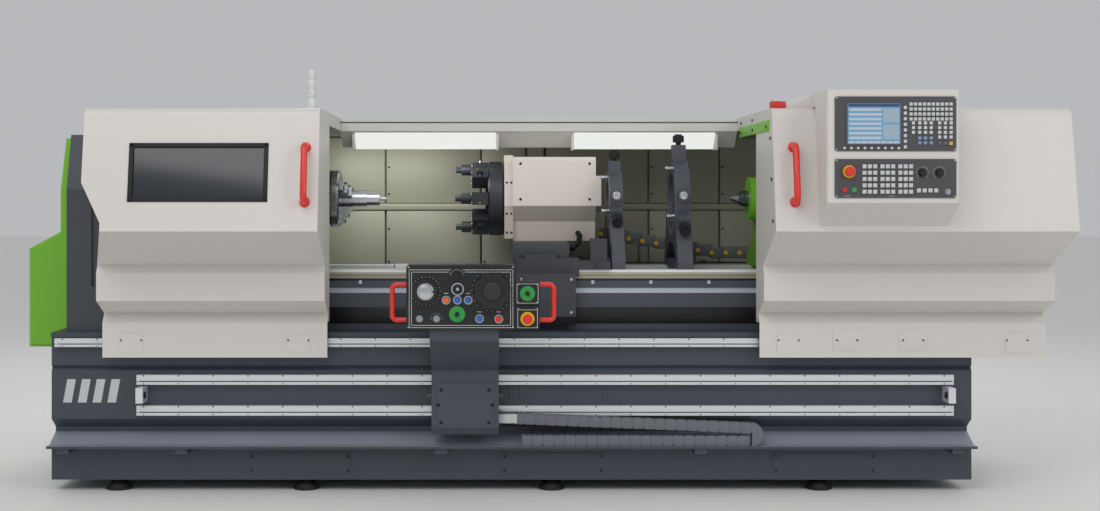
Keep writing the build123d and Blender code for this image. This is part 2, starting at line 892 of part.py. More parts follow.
save(handwheel(left_wheel_place, 51, 26, 10), "left_handwheel")
save(handwheel(right_wheel_place, 75, 34, 8), "right_handwheel")
save(round_knob((selector_place[0], face - 1, selector_place[1]), 15, 18, 12), "mode_selector")
save(lever((stick_place[0], face - 3, stick_place[1]), 42), "feed_stick")
save(lever((side_stick_place[0], face + 3, side_stick_place[1]), 38), "side_stick")
save(stop_button((pendant_stop_place[0], face + 3, pendant_stop_place[1])), "pendant_stop_button")
for name, place in button_places.items():
    save(push_button((place[0], face, place[1])), name)


# Cable chain: a run on the ledge, a bend, and a run up to the carriage, all of links with gaps between them
def chain_run(x0, z0, x1, z1):
    """A straight run of links between two lower corners."""
    length = hypot(x1 - x0, z1 - z0)
    count = max(1, round(length / chain_pitch))
    with BuildPart() as piece:
        prism_y([(x0, z0), (x1, z1), (x1, z1 + chain_height), (x0, z0 + chain_height)], chain_front, chain_back)
        for index in range(1, count):
            share = index / count
            x = x0 + (x1 - x0) * share
            z = z0 + (z1 - z0) * share
            block(x - 3, x + 3, chain_front - 1, chain_front + 5, z + 4, z + chain_height - 4, Mode.SUBTRACT)
    return piece.part


chain_centre_z = chain_floor + chain_height + chain_gap / 2
chain_outer = chain_height + chain_gap / 2
save(chain_run(chain_fixed_x, chain_floor, chain_bend_x, chain_floor), "cable_chain_lower")
save(chain_run(apron_right + 16, 294, chain_bend_x, chain_floor + chain_height + chain_gap), "cable_chain_upper")

with BuildPart() as cable_chain_loop:
    plane = Plane(origin=(chain_bend_x, chain_front, chain_centre_z), x_dir=(1, 0, 0), z_dir=(0, -1, 0))
    with BuildSketch(plane) as bend:
        Circle(chain_outer)
        Circle(chain_gap / 2, mode=Mode.SUBTRACT)
        with Locations((-chain_outer, 0)):
            Rectangle(2 * chain_outer, 2.2 * chain_outer, mode=Mode.SUBTRACT)
    extrude(bend.sketch, amount=chain_front - chain_back)
save(cable_chain_loop.part, "cable_chain_loop")

# Saddle: a plate that straddles the ways, its wings, a dovetail across it and the apron in front
with BuildPart() as saddle:
    block(saddle_left, saddle_right, front_way - 16, 270, bed_top, saddle_top)
    block(saddle_left, saddle_right, front_way - 16, front_way - 1, bed_top - 30, bed_top)
    block(saddle_right, wing_right, front_way - 16, front_way + way_width, bed_top, bed_top + 37)
    block(saddle_right, wing_right, -front_way - way_width, 270, bed_top, bed_top + 37)
    block(saddle_left - 520, saddle_left, front_way - 8, front_way - 1, bed_top + 7, bed_top + 25)
    prism_y(
        [
            (dove_centre - dove_width / 2, saddle_top),
            (dove_centre - dove_width / 2 - 14, saddle_top + dove_height),
            (dove_centre + dove_width / 2 + 14, saddle_top + dove_height),
            (dove_centre + dove_width / 2, saddle_top),
        ],
        front_way - 16,
        270,
    )
    prism_x(
        [
            (front_way - 16, bed_top - 14),
            (front_way - 66, bed_top - 14),
            (front_way - 76, 800),
            (front_way - 76, base_top + 60),
            (front_way - 40, base_top + 22),
            (front_way - 8, base_top + 22),
            (front_way - 8, bed_top - 30),
            (front_way - 16, bed_top - 30),
        ],
        saddle_left + 4,
        233,
    )
    block(300, 371, -260, -180, bed_top + 37, 1055)
    rod((330, front_way - 16, 942), (0, -1, 0), 9, 26)
save(saddle.part, "saddle")

with BuildPart() as cross_slide:
    block(slide_left, slide_right, slide_front, slide_rear, saddle_top, slide_top)
    prism_y(
        [
            (dove_centre - dove_width / 2 - clearance, saddle_top - 1),
            (dove_centre - dove_width / 2 - clearance, saddle_top),
            (dove_centre - dove_width / 2 - 14 - clearance, saddle_top + dove_height + clearance),
            (dove_centre + dove_width / 2 + 14 + clearance, saddle_top + dove_height + clearance),
            (dove_centre + dove_width / 2 + clearance, saddle_top),
            (dove_centre + dove_width / 2 + clearance, saddle_top - 1),
        ],
        slide_front - 1,
        slide_rear + 1,
        Mode.SUBTRACT,
    )
    chamfer(cross_slide.edges().filter_by(Axis.X).group_by(Axis.Z)[-1].sort_by(Axis.Y)[0], length=20)
save(cross_slide.part, "cross_slide")

with BuildPart() as turret_housing:
    prism_x([(80, slide_top), (80, 1125), (420, 1125), (420, slide_top)], -28, 343)
    prism_x([(80, 1125), (30, 1196), (30, 1400), (48, 1415), (440, 1415), (440, 1125)], -28, 343)
    prism_x([(30, 1196), (30, 1330), (440, 1330), (440, 1196)], 343, 367)
    prism_x([(56, 1048), (56, 1390), (90, 1424), (404, 1424), (404, 1048)], turret_right + 1, -28)
save(turret_housing.part, "turret_housing")


def turret_plane(x, angle):
    """A plane at the turret's axis whose normal points outwards at an angle and whose x direction is +X."""
    return Plane(origin=(x, turret_y, axis_z), x_dir=(1, 0, 0), z_dir=(0, cos(angle), sin(angle)))


station_angles = [2 * pi * index / stations for index in range(stations)]
with BuildPart() as turret_disc:
    rod((turret_left, turret_y, axis_z), (1, 0, 0), turret_radius, turret_right - turret_left)
    chamfer(turret_disc.edges().filter_by(GeomType.CIRCLE), length=8)
    rod((turret_left - 12, turret_y, axis_z), (1, 0, 0), 62, 12)
    for angle in station_angles:
        y = turret_y + 148 * cos(angle + pi / stations)
        z = axis_z + 148 * sin(angle + pi / stations)
        post((turret_left - 1, y, z), (1, 0, 0), 9, 20, 6, Mode.SUBTRACT)
save(turret_disc.part, "turret_disc")

with BuildPart() as tool_holders:
    for index, angle in enumerate(station_angles):
        plane = turret_plane(turret_left - holder_length / 2, angle)
        with BuildSketch(plane.offset(holder_inner)) as foot:
            Rectangle(holder_length, holder_width)
        extrude(foot.sketch, amount=holder_outer - holder_inner)
        if index % 2:
            with BuildSketch(plane.offset(holder_outer)) as tool:
                Rectangle(shank, shank)
            extrude(tool.sketch, amount=tool_tip - holder_outer)
        else:
            y = turret_y + 131 * cos(angle)
            z = axis_z + 131 * sin(angle)
            post((turret_left - holder_length, y, z), (-1, 0, 0), 25, 50, 16)
            post((turret_left - holder_length - 50, y, z), (-1, 0, 0), 14, 26, 10)
save(tool_holders.part, "tool_holders")

# Chuck on the spindle, its three jaws and the test piece that they grip
with BuildPart() as chuck:
    rod((chuck_face - chuck_length, 0, axis_z), (1, 0, 0), chuck_dia / 2, chuck_length)
    chamfer(chuck.edges().filter_by(GeomType.CIRCLE), length=5)
    rod((-1560, 0, axis_z), (1, 0, 0), spindle_radius, 1560 + chuck_face - chuck_length)
    rod((chuck_face - 60, 0, axis_z), (1, 0, 0), spindle_bore / 2, 61, Mode.SUBTRACT)
    for index in range(3):
        angle = radians(30 + 120 * index)
        plane = Plane(origin=(chuck_face, 0, axis_z), x_dir=(0, cos(angle), sin(angle)), z_dir=(1, 0, 0))
        with BuildSketch(plane) as slot:
            with Locations((chuck_dia / 2 - 6, 0)):
                Rectangle(28, 14)
        extrude(slot.sketch, amount=-9, mode=Mode.SUBTRACT)
save(chuck.part, "chuck")

jaw_angles = [radians(90 + 120 * index) for index in range(3)]
for index, angle in enumerate(jaw_angles):
    with BuildPart() as jaw:
        plane = Plane(origin=(chuck_face, 0, axis_z), x_dir=(1, 0, 0), z_dir=(0, cos(angle), sin(angle)))
        outline = [
            (0, piece_radius + clearance),
            (jaw_length, piece_radius + clearance),
            (jaw_length, 62),
            (jaw_length * 0.7, 62),
            (jaw_length * 0.7, 88),
            (jaw_length * 0.4, 88),
            (jaw_length * 0.4, jaw_outer),
            (0, jaw_outer),
        ]
        side_plane = Plane(origin=plane.origin, x_dir=(1, 0, 0), z_dir=(0, sin(angle), -cos(angle)))
        with BuildSketch(side_plane) as profile:
            with BuildLine():
                Polyline(outline, close=True)
            make_face()
        extrude(profile.sketch, amount=jaw_width / 2, both=True)
    save(jaw.part, f"chuck_jaw_{index + 1}")

with BuildPart() as test_piece:
    rod((chuck_face - 60, 0, axis_z), (1, 0, 0), piece_radius, 60 + 119)
    rod((chuck_face + 119, 0, axis_z), (1, 0, 0), 31, 58)
    rod((chuck_face + 177, 0, axis_z), (1, 0, 0), 8, 29)
save(test_piece.part, "test_piece")

# Tailstock: a cast body on the ways with a long barrel, and its quill with the centre
with BuildPart() as tailstock:
    right = tailstock_left + tailstock_length
    prism_x(
        [
            (front_way - 10, bed_top),
            (front_way - 10, bed_top + 60),
            (-120, bed_top + 110),
            (-95, axis_z),
            (95, axis_z),
            (120, bed_top + 110),
            (-front_way + 10, bed_top + 60),
            (-front_way + 10, bed_top),
        ],
        tailstock_left,
        right,
    )
    rod((tailstock_left - 40, 0, axis_z), (1, 0, 0), barrel_radius, tailstock_length + 60)
    rod((tailstock_left - 41, 0, axis_z), (1, 0, 0), quill_radius + 0.05, 400, Mode.SUBTRACT)
save(tailstock.part, "tailstock")

with BuildPart() as quill:
    rod((quill_nose, 0, axis_z), (1, 0, 0), quill_radius, 350)
    with BuildSketch(Plane.XZ.offset(0)) as cone:
        with BuildLine():
            Polyline(
                (centre_tip, axis_z),
                (centre_tip + 28, axis_z + 16),
                (quill_nose - 14, axis_z + 18),
                (quill_nose - 14, axis_z + 28),
                (quill_nose, axis_z + 28),
                (quill_nose, axis_z),
                close=True,
            )
        make_face()
    revolve(cone.sketch, axis=Axis((0, 0, axis_z), (1, 0, 0)))
save(quill.part, "quill")


# Steady rests: a ring on a foot across the ways, three bosses, and a jaw screw in each
def steady_rest(x, width, ring_radius):
    """The frame of a steady rest, with its bosses bored for the jaw screws."""
    bore = ring_radius * 0.66
    centre = (x, 0, axis_z)
    with BuildPart() as piece:
        prism_x(
            [
                (front_way, bed_top),
                (front_way, bed_top + rest_foot),
                (-ring_radius * 0.93, axis_z - ring_radius * 0.3),
                (ring_radius * 0.93, axis_z - ring_radius * 0.3),
                (-front_way, bed_top + rest_foot),
                (-front_way, bed_top),
            ],
            x,
            x + width,
        )
        prism_x(
            [
                (front_way + 62, bed_top + rest_foot),
                (-60, axis_z - ring_radius * 1.15),
                (60, axis_z - ring_radius * 1.15),
                (-front_way - 62, bed_top + rest_foot),
            ],
            x - 1,
            x + width + 1,
            Mode.SUBTRACT,
        )
        rod(centre, (1, 0, 0), ring_radius, width)
        for angle in rest_angles:
            plane = Plane(origin=(x + width / 2, 0, axis_z), x_dir=(1, 0, 0), z_dir=(0, cos(angle), sin(angle)))
            with BuildSketch(plane.offset(bore + 10)) as boss:
                Rectangle(width * 0.9, 62)
            extrude(boss.sketch, amount=ring_radius * 1.42 - bore - 10)
        rod((x - 1, 0, axis_z), (1, 0, 0), bore, width + 2, Mode.SUBTRACT)
        for angle in rest_angles:
            direction = (0, cos(angle), sin(angle))
            rod((x + width / 2, 0, axis_z), direction, quill_bore + clearance, ring_radius * 1.5, Mode.SUBTRACT)
            seat = Vector(x + width / 2, 0, axis_z) + Vector(*direction) * (ring_radius * 1.42)
            post(seat, direction, 29, 80, 8, Mode.SUBTRACT)
        for z in (axis_z + ring_radius * 0.8, axis_z - ring_radius * 0.45):
            y = -ring_radius * (0.35 if z > axis_z else 0.72)
            post((x, y, z), (-1, 0, 0), 7, 34, 8)
            post((x - 30, y - 24, z), (0, 1, 0), 5, 48, 6)
        post((x + width / 2, -ring_radius * 0.9, axis_z + 14), (0, -1, 0), 26, ring_radius * 0.2 + 8, 12)
    return piece.part


def jaw_screw(x, width, ring_radius, angle):
    """A steady jaw: a round quill with a roller tip inside the ring and a ribbed knob outside."""
    direction = Vector(0, cos(angle), sin(angle))
    origin = Vector(x + width / 2, 0, axis_z)
    tip = ring_radius * 0.3
    knob = ring_radius * 1.42 + 12
    with BuildPart() as piece:
        rod(origin + direction * tip, direction, quill_bore, knob - tip)
        post(origin + direction * tip, direction, quill_bore + 6, 18, 10)
        post(origin + direction * knob, direction, 24, 30, 12)
        post(origin + direction * (knob + 30), direction, 16, 6, 8)
    return piece.part


rest_angles = [radians(angle) for angle in (90, 210, 330)]
for number, x, width, ring_radius in (
    (1, rest_one_x, rest_one_width, rest_one_radius),
    (2, rest_two_x, rest_two_width, rest_two_radius),
):
    save(steady_rest(x, width, ring_radius), f"steady_rest_{number}")
    for side, angle in zip(("top", "front", "rear"), rest_angles):
        save(jaw_screw(x, width, ring_radius, angle), f"steady_{number}_jaw_{side}")
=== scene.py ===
import math

import bmesh
import bpy
from mathutils import Matrix, Vector


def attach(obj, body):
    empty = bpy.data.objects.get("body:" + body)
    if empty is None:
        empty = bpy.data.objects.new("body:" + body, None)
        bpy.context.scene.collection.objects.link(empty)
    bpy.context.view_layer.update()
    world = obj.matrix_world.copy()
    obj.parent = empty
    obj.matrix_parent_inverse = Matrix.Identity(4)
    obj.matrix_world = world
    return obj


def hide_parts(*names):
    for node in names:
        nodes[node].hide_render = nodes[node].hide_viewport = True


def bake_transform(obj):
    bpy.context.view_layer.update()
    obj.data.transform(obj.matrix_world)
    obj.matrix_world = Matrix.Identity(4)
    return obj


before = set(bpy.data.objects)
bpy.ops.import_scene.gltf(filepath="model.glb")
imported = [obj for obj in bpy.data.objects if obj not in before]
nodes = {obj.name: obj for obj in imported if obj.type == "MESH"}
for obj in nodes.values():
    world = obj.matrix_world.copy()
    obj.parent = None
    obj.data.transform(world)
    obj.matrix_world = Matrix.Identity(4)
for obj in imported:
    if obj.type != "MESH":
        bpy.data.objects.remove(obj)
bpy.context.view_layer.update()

# Viewpoint: a level camera in front of the machine at chest height, so that uprights stay upright.
# Its shift only moves the frame, because the picture is cut off centre.
picture_width, picture_height = 1100, 511
focal_px = 1500
axis_px, axis_py = 490, 197
camera = bpy.data.objects.new("camera", bpy.data.cameras.new("camera"))
bpy.context.scene.collection.objects.link(camera)
camera.data.sensor_width = 36
camera.data.lens = 36 * focal_px / picture_width
camera.data.shift_x = (picture_width / 2 - axis_px) / picture_width
camera.data.shift_y = (axis_py - picture_height / 2) / picture_width
camera.location = (-0.132, -6.70, 1.235)
camera.rotation_euler = (math.radians(90), 0, 0)
bpy.context.scene.camera = camera
bpy.context.scene.view_settings.view_transform = "Standard"


# Room: a pale seamless floor that keeps the machine's shadow, under soft light from above and both sides.
# Every finish below is made of shader nodes. Its colour is an sRGB hex value, and its grain is a size in
# millimetres.
def linear(hex_value):
    """An sRGB hex colour as linear red, green and blue."""
    parts = [int(hex_value[i : i + 2], 16) / 255 for i in (1, 3, 5)]
    return [p / 12.92 if p <= 0.04045 else ((p + 0.055) / 1.055) ** 2.4 for p in parts] + [1.0]


def add_node(tree, kind, settings=None, links=None):
    """Add a shader node with its settings, and links from other nodes' outputs to its inputs."""
    made = tree.nodes.new(kind)
    for key, value in (settings or {}).items():
        if isinstance(key, int) or key in made.inputs:
            made.inputs[key].default_value = value
        else:
            setattr(made, key, value)
    for key, output in (links or {}).items():
        tree.links.new(output, made.inputs[key])
    return made


def finish(
    name,
    hex_value,
    roughness,
    metallic=0.0,
    grain_mm=40.0,
    stretch=(1, 1, 1),
    shade=0.06,
    bump=0.05,
    coat=0.0,
):
    """A surface with slightly uneven colour and roughness. Its bump is a fortieth of its grain deep."""
    made = bpy.data.materials.new(name)
    made.use_nodes = True
    tree = made.node_tree
    shader = tree.nodes["Principled BSDF"]
    shader.inputs["Metallic"].default_value = metallic
    shader.inputs["Coat Weight"].default_value = coat
    place = add_node(tree, "ShaderNodeTexCoord")
    turned = add_node(tree, "ShaderNodeMapping", {"Scale": stretch}, {"Vector": place.outputs["Object"]})
    fine = {"Scale": 1000 / grain_mm, "Detail": 4.0}
    grain = add_node(tree, "ShaderNodeTexNoise", fine, {"Vector": turned.outputs["Vector"]})
    wide = {"Scale": 1.7, "Detail": 3.0}
    cloud = add_node(tree, "ShaderNodeTexNoise", wide, {"Vector": place.outputs["Object"]})
    base = linear(hex_value)
    tint = add_node(tree, "ShaderNodeMix", {"data_type": "RGBA"}, {0: cloud.outputs["Fac"]})
    tint.inputs[6].default_value = [c * (1 - shade) for c in base[:3]] + [1.0]
    tint.inputs[7].default_value = [min(1.0, c * (1 + shade)) for c in base[:3]] + [1.0]
    tree.links.new(tint.outputs[2], shader.inputs["Base Color"])
    low, high = max(0.02, roughness - 0.08), min(1.0, roughness + 0.08)
    span = {"To Min": low, "To Max": high}
    rough = add_node(tree, "ShaderNodeMapRange", span, {"Value": grain.outputs["Fac"]})
    tree.links.new(rough.outputs["Result"], shader.inputs["Roughness"])
    depth = {"Strength": bump, "Distance": grain_mm / 40000}
    relief = add_node(tree, "ShaderNodeBump", depth, {"Height": grain.outputs["Fac"]})
    tree.links.new(relief.outputs["Normal"], shader.inputs["Normal"])
    return made


floor_bm = bmesh.new()
bmesh.ops.create_grid(floor_bm, x_segments=1, y_segments=1, size=40)
floor_mesh = bpy.data.meshes.new("floor")
floor_bm.to_mesh(floor_mesh)
floor_bm.free()
floor = bpy.data.objects.new("floor", floor_mesh)
bpy.context.scene.collection.objects.link(floor)
# Painted floor: even and matt, with nothing in it that draws the eye from the machine.
floor.data.materials.append(finish("pale_floor", "#F2F1EF", 0.6, grain_mm=60, bump=0.0, shade=0.01))
world = bpy.data.worlds.new("studio")
bpy.context.scene.world = world
world.use_nodes = True
world.node_tree.nodes["Background"].inputs["Color"].default_value = (0.96, 0.97, 1.0, 1)
world.node_tree.nodes["Background"].inputs["Strength"].default_value = 0.50


def area_light(name, place, aim, width, height, power):
    """A rectangular soft light from a place towards an aim."""
    lamp = bpy.data.objects.new(name, bpy.data.lights.new(name, "AREA"))
    bpy.context.scene.collection.objects.link(lamp)
    lamp.data.shape = "RECTANGLE"
    lamp.data.size = width
    lamp.data.size_y = height
    lamp.data.energy = power
    lamp.location = place
    lamp.rotation_euler = (Vector(aim) - Vector(place)).to_track_quat("-Z", "Y").to_euler()
    return lamp


area_light("key", (-2.2, -5.2, 5.4), (0, 0, 1.0), 4.5, 4.5, 150)
area_light("fill", (4.5, -4.8, 3.6), (0.3, 0, 0.9), 3.0, 3.0, 70)
area_light("back", (0.0, 4.5, 4.5), (0, 0.5, 1.0), 3.5, 3.5, 80)

# Base: a long iron casting in blue-grey machine enamel, with a sloped ledge above a lower box
# whose access plates are held by a screw in each corner. Its front is drilled for options, and the holes
# are dark discs: painted shade for their depth.


def paint(material, *names):
    """Give CAD nodes a finish."""
    for name in names:
        nodes[name].data.materials.clear()
        nodes[name].data.materials.append(material)


def box(bm, x, y, z, bevel=0.0, turn=Matrix()):
    """A block from pairs of low and high sides, with broken edges. A turn matrix moves it as a whole."""
    size = [high - low for low, high in (x, y, z)]
    middle = [(high + low) / 2 for low, high in (x, y, z)]
    shape = turn @ Matrix.Translation(middle) @ Matrix.Diagonal(size + [1])
    made = bmesh.ops.create_cube(bm, size=1, matrix=shape)["verts"]
    if bevel:
        edges = list({edge for vert in made for edge in vert.link_edges})
        bmesh.ops.bevel(bm, geom=edges, offset=bevel, segments=2, profile=0.5, affect="EDGES", material=-1)


def bar(bm, start, direction, radius, length, segments=20, tip=None, bevel=0.0, turn=Matrix()):
    """A round bar or cone from a start point along a direction."""
    way = Vector(direction).normalized()
    level = Vector((0, 0, 1)).rotation_difference(way).to_matrix().to_4x4()
    made = bmesh.ops.create_cone(
        bm,
        cap_ends=True,
        segments=segments,
        radius1=radius,
        radius2=radius if tip is None else tip,
        depth=length,
        matrix=turn @ Matrix.Translation(Vector(start) + way * (length / 2)) @ level,
    )["verts"]
    if bevel:
        edges = {edge for vert in made for edge in vert.link_edges}
        rims = [edge for edge in edges if any(len(face.verts) > 4 for face in edge.link_faces)]
        bmesh.ops.bevel(bm, geom=rims, offset=bevel, segments=2, profile=0.5, affect="EDGES", material=-1)


def screw(bm, place, direction, radius=0.004, head=0.003):
    """A socket-head screw: a round head with a hexagon sunk in it."""
    way = Vector(direction).normalized()
    bar(bm, place, way, radius, head, segments=16, bevel=head * 0.2)
    bar(bm, Vector(place) + way * head * 0.8, way, radius * 0.5, head * 0.25, segments=6)


def keep(bm, name, material, body, smooth=True):
    """Make a bmesh a named piece with its finish and the body that it rides on."""
    bmesh.ops.recalc_face_normals(bm, faces=bm.faces)
    mesh = bpy.data.meshes.new(name)
    bm.to_mesh(mesh)
    bm.free()
    mesh.materials.append(material)
    if smooth:
        mesh.shade_smooth()
        mesh.set_sharp_from_angle(angle=math.radians(35))
    piece = bpy.data.objects.new(name, mesh)
    bpy.context.scene.collection.objects.link(piece)
    if body:
        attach(piece, body)
    return piece


# Enamel sprayed on iron: a soft sheen with a faint peel. Black oxide leaves steel dark with a dull gleam.
base_paint = finish("machine_enamel_blue_grey", "#3F454E", 0.45, grain_mm=5, bump=0.08, shade=0.08)
dark_steel = finish("black_oxide_steel", "#26282B", 0.4, metallic=0.6, grain_mm=3, bump=0.06)
paint(base_paint, "base_casting")
plate_middles = (-0.930, 0.132, 1.272)
plate_screw_reach = 0.203
bm = bmesh.new()
for middle in plate_middles:
    for x in (middle - plate_screw_reach, middle + plate_screw_reach):
        for z in (0.087, 0.147):
            screw(bm, (x, -0.4030, z), (0, -1, 0), 0.0055, 0.003)
# Holes drawn as dark discs, painted shade inside them.
for x in (-0.052, -0.031, -0.010, 0.340, 0.358):
    for z in (0.388, 0.402, 0.425, 0.438):
        bar(bm, (x, -0.4002, z), (0, -1, 0), 0.0032, 0.0005, segments=10)
for x in (-1.60, -0.62, 0.42, 1.33):
    bar(bm, (x, -0.4102, 0.6385), (0, -1, 0), 0.004, 0.0005, segments=10)
keep(bm, "base_screws_and_holes", dark_steel, "machine")
first_slat_x, slat_pitch = -1.925, 0.062
bm = bmesh.new()
for index in range(4):
    x = first_slat_x + slat_pitch * index
    outline = [(x, 0.372), (x + 0.036, 0.372), (x + 0.054, 0.470), (x + 0.018, 0.470)]
    near, far = [[bm.verts.new((across, y, up)) for across, up in outline] for y in (-0.4012, -0.3998)]
    bm.faces.new(near)
    bm.faces.new(far)
    for one, two in ((0, 1), (1, 2), (2, 3), (3, 0)):
        bm.faces.new((near[one], near[two], far[two], far[one]))
# Silver foil is flat, pale and half glossy.
silver_foil = finish("silver_foil", "#C9CCCE", 0.35, metallic=0.4)
keep(bm, "silver_slats", silver_foil, "machine", smooth=False)
# The ledge faces up, so its enamel is painted paler than the base: painted light from above.
# Its tone is also a little cloudy at random.
lit_ledge_finish = finish("ledge_enamel_painted_lit", "#8B929E", 0.38, grain_mm=30, bump=0.03, shade=0.12)
bm = bmesh.new()
corners = [(-0.4265, 0.2005), (-0.3402, 0.2412), (-0.3402, 0.2418), (-0.4265, 0.2011)]
rows = [[bm.verts.new((x, y, z)) for y, z in corners] for x in (-1.971, 1.888)]
for index in range(4):
    following = (index + 1) % 4
    bm.faces.new((rows[0][index], rows[0][following], rows[1][following], rows[1][index]))
for row in rows:
    bm.faces.new(row)
box(bm, (-1.971, 1.888), (-0.4800, -0.4267), (0.1999, 0.2006))
keep(bm, "ledge_slope", lit_ledge_finish, "machine", smooth=False)

# Levelling feet: each is a rubber-coated iron cone on a disc, screwed into the base on a short stud.
# Moulded rubber: near black and matt, with a fine grain.
rubber = finish("black_rubber", "#141415", 0.65, grain_mm=3, bump=0.1, shade=0.05)
base_left, base_length = -1.973, 3.863
bm = bmesh.new()
for share in (0.07, 0.275, 0.544, 0.837):
    for y in (-0.340, 0.640):
        x = base_left + base_length * share
        bar(bm, (x, y, 0), (0, 0, 1), 0.055, 0.012, segments=48, bevel=0.003)
        bar(bm, (x, y, 0.012), (0, 0, 1), 0.052, 0.022, segments=48, tip=0.033, bevel=0.002)
        bar(bm, (x, y, 0.030), (0, 0, 1), 0.018, 0.018, segments=24)
feet = keep(bm, "rubber_feet", rubber, "machine")
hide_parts("levelling_feet")

# Guide rails: three ground steel bars with a groove along each, screwed to the base at an even pitch.
# Small black screws stand in rows near both edges, and rubber faces the steel end stops.
# Grinding leaves long faint streaks along the bar and a soft bright gleam.
paint(
    finish("ground_rail_steel", "#DDE0E3", 0.3, metallic=0.5, grain_mm=8, stretch=(0.05, 1, 1), bump=0.05),
    "guide_rails",
)
screw_pitch = 0.1455
# Each rail's lower edge and height, then the places of its first and last screws.
rails = ((0.450, 0.041, -1.58, 1.79), (0.321, 0.041, -1.58, 1.79), (0.608, 0.036, -1.92, 1.86))
bm = bmesh.new()
for low, height, first, last in rails:
    x = first
    while x < last:
        for up, radius in ((height - 0.0035, 0.0032), (0.0040, 0.0026)):
            bar(bm, (x, -0.4298, low + up), (0, -1, 0), radius, 0.0006, segments=10)
        x += screw_pitch
    # A dark strip at the bottom of each rail's groove is painted shade.
    box(bm, (first - 0.02, last + 0.01), (-0.4242, -0.4238), (low + height * 0.29, low + height * 0.39))
keep(bm, "rail_screws", dark_steel, "machine", smooth=False)
bm = bmesh.new()
for x, side in ((-1.570, 1), (1.767, -1)):
    bar(bm, (x, -0.466, 0.411), (side, 0, 0), 0.014, 0.006, bevel=0.001)
keep(bm, "end_stop_faces", rubber, "machine")

# Headstock end: a graphite cabinet of welded sheet around the headstock, with the green belt guard at its
# side. The spindle's nose carries a steel ring on eight screws, around the spindle's axis.
axis_z = 1.228
# Enamel on sheet and castings: even and half glossy. Turning leaves steel bright, with fine rings.
cabinet_paint = finish("structure_paint_graphite", "#3D4249", 0.5, grain_mm=5, bump=0.06, shade=0.06)
green_paint = finish("machine_enamel_green", "#76BC2E", 0.4, grain_mm=6, bump=0.05, shade=0.05)
bright_steel = finish(
    "turned_steel", "#C9CCCF", 0.26, metallic=1.0, grain_mm=3, stretch=(1, 0.2, 0.2), bump=0.05
)
paint(cabinet_paint, "end_cabinet")
paint(green_paint, "belt_guard", "headstock", "tailstock")


def ring(bm, centre, direction, outer, inner, depth, segments=40):
    """A flat ring of square section, spun about its own axis."""
    way = Vector(direction).normalized()
    side = way.orthogonal().normalized()
    at = Vector(centre)
    corners = [at + side * r + way * d for r, d in ((inner, 0), (outer, 0), (outer, depth), (inner, depth))]
    verts = [bm.verts.new(corner) for corner in corners]
    edges = [bm.edges.new((verts[i], verts[(i + 1) % 4])) for i in range(4)]
    bmesh.ops.spin(
        bm,
        geom=verts + edges,
        cent=at,
        axis=way,
        dvec=(0, 0, 0),
        angle=math.tau,
        steps=segments,
        use_merge=True,
    )


bm = bmesh.new()
ring(bm, (-0.940, 0, axis_z), (1, 0, 0), 0.150, 0.080, 0.012, segments=64)
screw_circle = 0.128
for index in range(8):
    angle = math.radians(45 * index)
    y, z = screw_circle * math.cos(angle), axis_z + screw_circle * math.sin(angle)
    screw(bm, (-0.928, y, z), (1, 0, 0), 0.009, 0.006)
keep(bm, "nose_ring", dark_steel, "machine")

# Rear housing: folded sheet, beige towards the cutting room and graphite on the outside.
# Inside, bent panels are screwed side by side on it, with a folded rib where an upper and a lower row meet.


def banded(name, axis, limit, low, high):
    """One finish below a limit on an axis and another above it, each as (hex, roughness, metallic)."""
    made = finish(name, low[0], low[1], grain_mm=6, bump=0.06)
    tree = made.node_tree
    shader = tree.nodes["Principled BSDF"]
    place = add_node(tree, "ShaderNodeTexCoord")
    parts = add_node(tree, "ShaderNodeSeparateXYZ", None, {"Vector": place.outputs["Object"]})
    test = {"operation": "GREATER_THAN", 1: limit}
    above = add_node(tree, "ShaderNodeMath", test, {0: parts.outputs[axis]})
    mixed = add_node(tree, "ShaderNodeMix", {"data_type": "RGBA"}, {0: above.outputs[0]})
    mixed.inputs[7].default_value = linear(high[0])
    tree.links.new(shader.inputs["Base Color"].links[0].from_socket, mixed.inputs[6])
    tree.links.new(mixed.outputs[2], shader.inputs["Base Color"])
    for key, index in (("Roughness", 1), ("Metallic", 2)):
        if low[index] != high[index]:
            span = {"To Min": low[index], "To Max": high[index]}
            chosen = add_node(tree, "ShaderNodeMapRange", span, {"Value": above.outputs[0]})
            tree.links.new(chosen.outputs["Result"], shader.inputs[key])
    return made


# Paint on wide sheet is matt and a little cloudy, from coolant mist and from waves in the sheet.
wall_sheet = finish("painted_sheet_beige", "#A4A392", 0.5, metallic=0.1, grain_mm=25, bump=0.04, shade=0.12)
wall_side, cabinet_side = ("#A09F8D", 0.5, 0.0), ("#3D4249", 0.5, 0.0)
paint(banded("beige_wall_and_grey_cabinet", "Y", 0.645, wall_side, cabinet_side), "rear_housing")
bm = bmesh.new()
for edges in ([-0.985, -0.640, -0.175, 0.045], [0.135, 0.640, 0.985, 1.400, 1.880]):
    for left, right in zip(edges[:-1], edges[1:]):
        box(bm, (left + 0.004, right - 0.004), (0.612, 0.628), (1.205, 1.525), 0.004)
        box(bm, (left + 0.004, right - 0.004), (0.606, 0.628), (0.690, 1.170), 0.004)
box(bm, (-0.985, 1.880), (0.596, 0.630), (1.172, 1.203), 0.004)
keep(bm, "wall_panels", wall_sheet, "machine")
bm = bmesh.new()
for x in (-0.640, -0.175, 0.640, 0.985):
    for z in (0.76, 0.92, 1.08, 1.25, 1.38, 1.50):
        screw(bm, (x + 0.016, 0.606 if z < 1.2 else 0.612, z), (0, -1, 0), 0.005, 0.003)
keep(bm, "wall_screws", dark_steel, "machine")

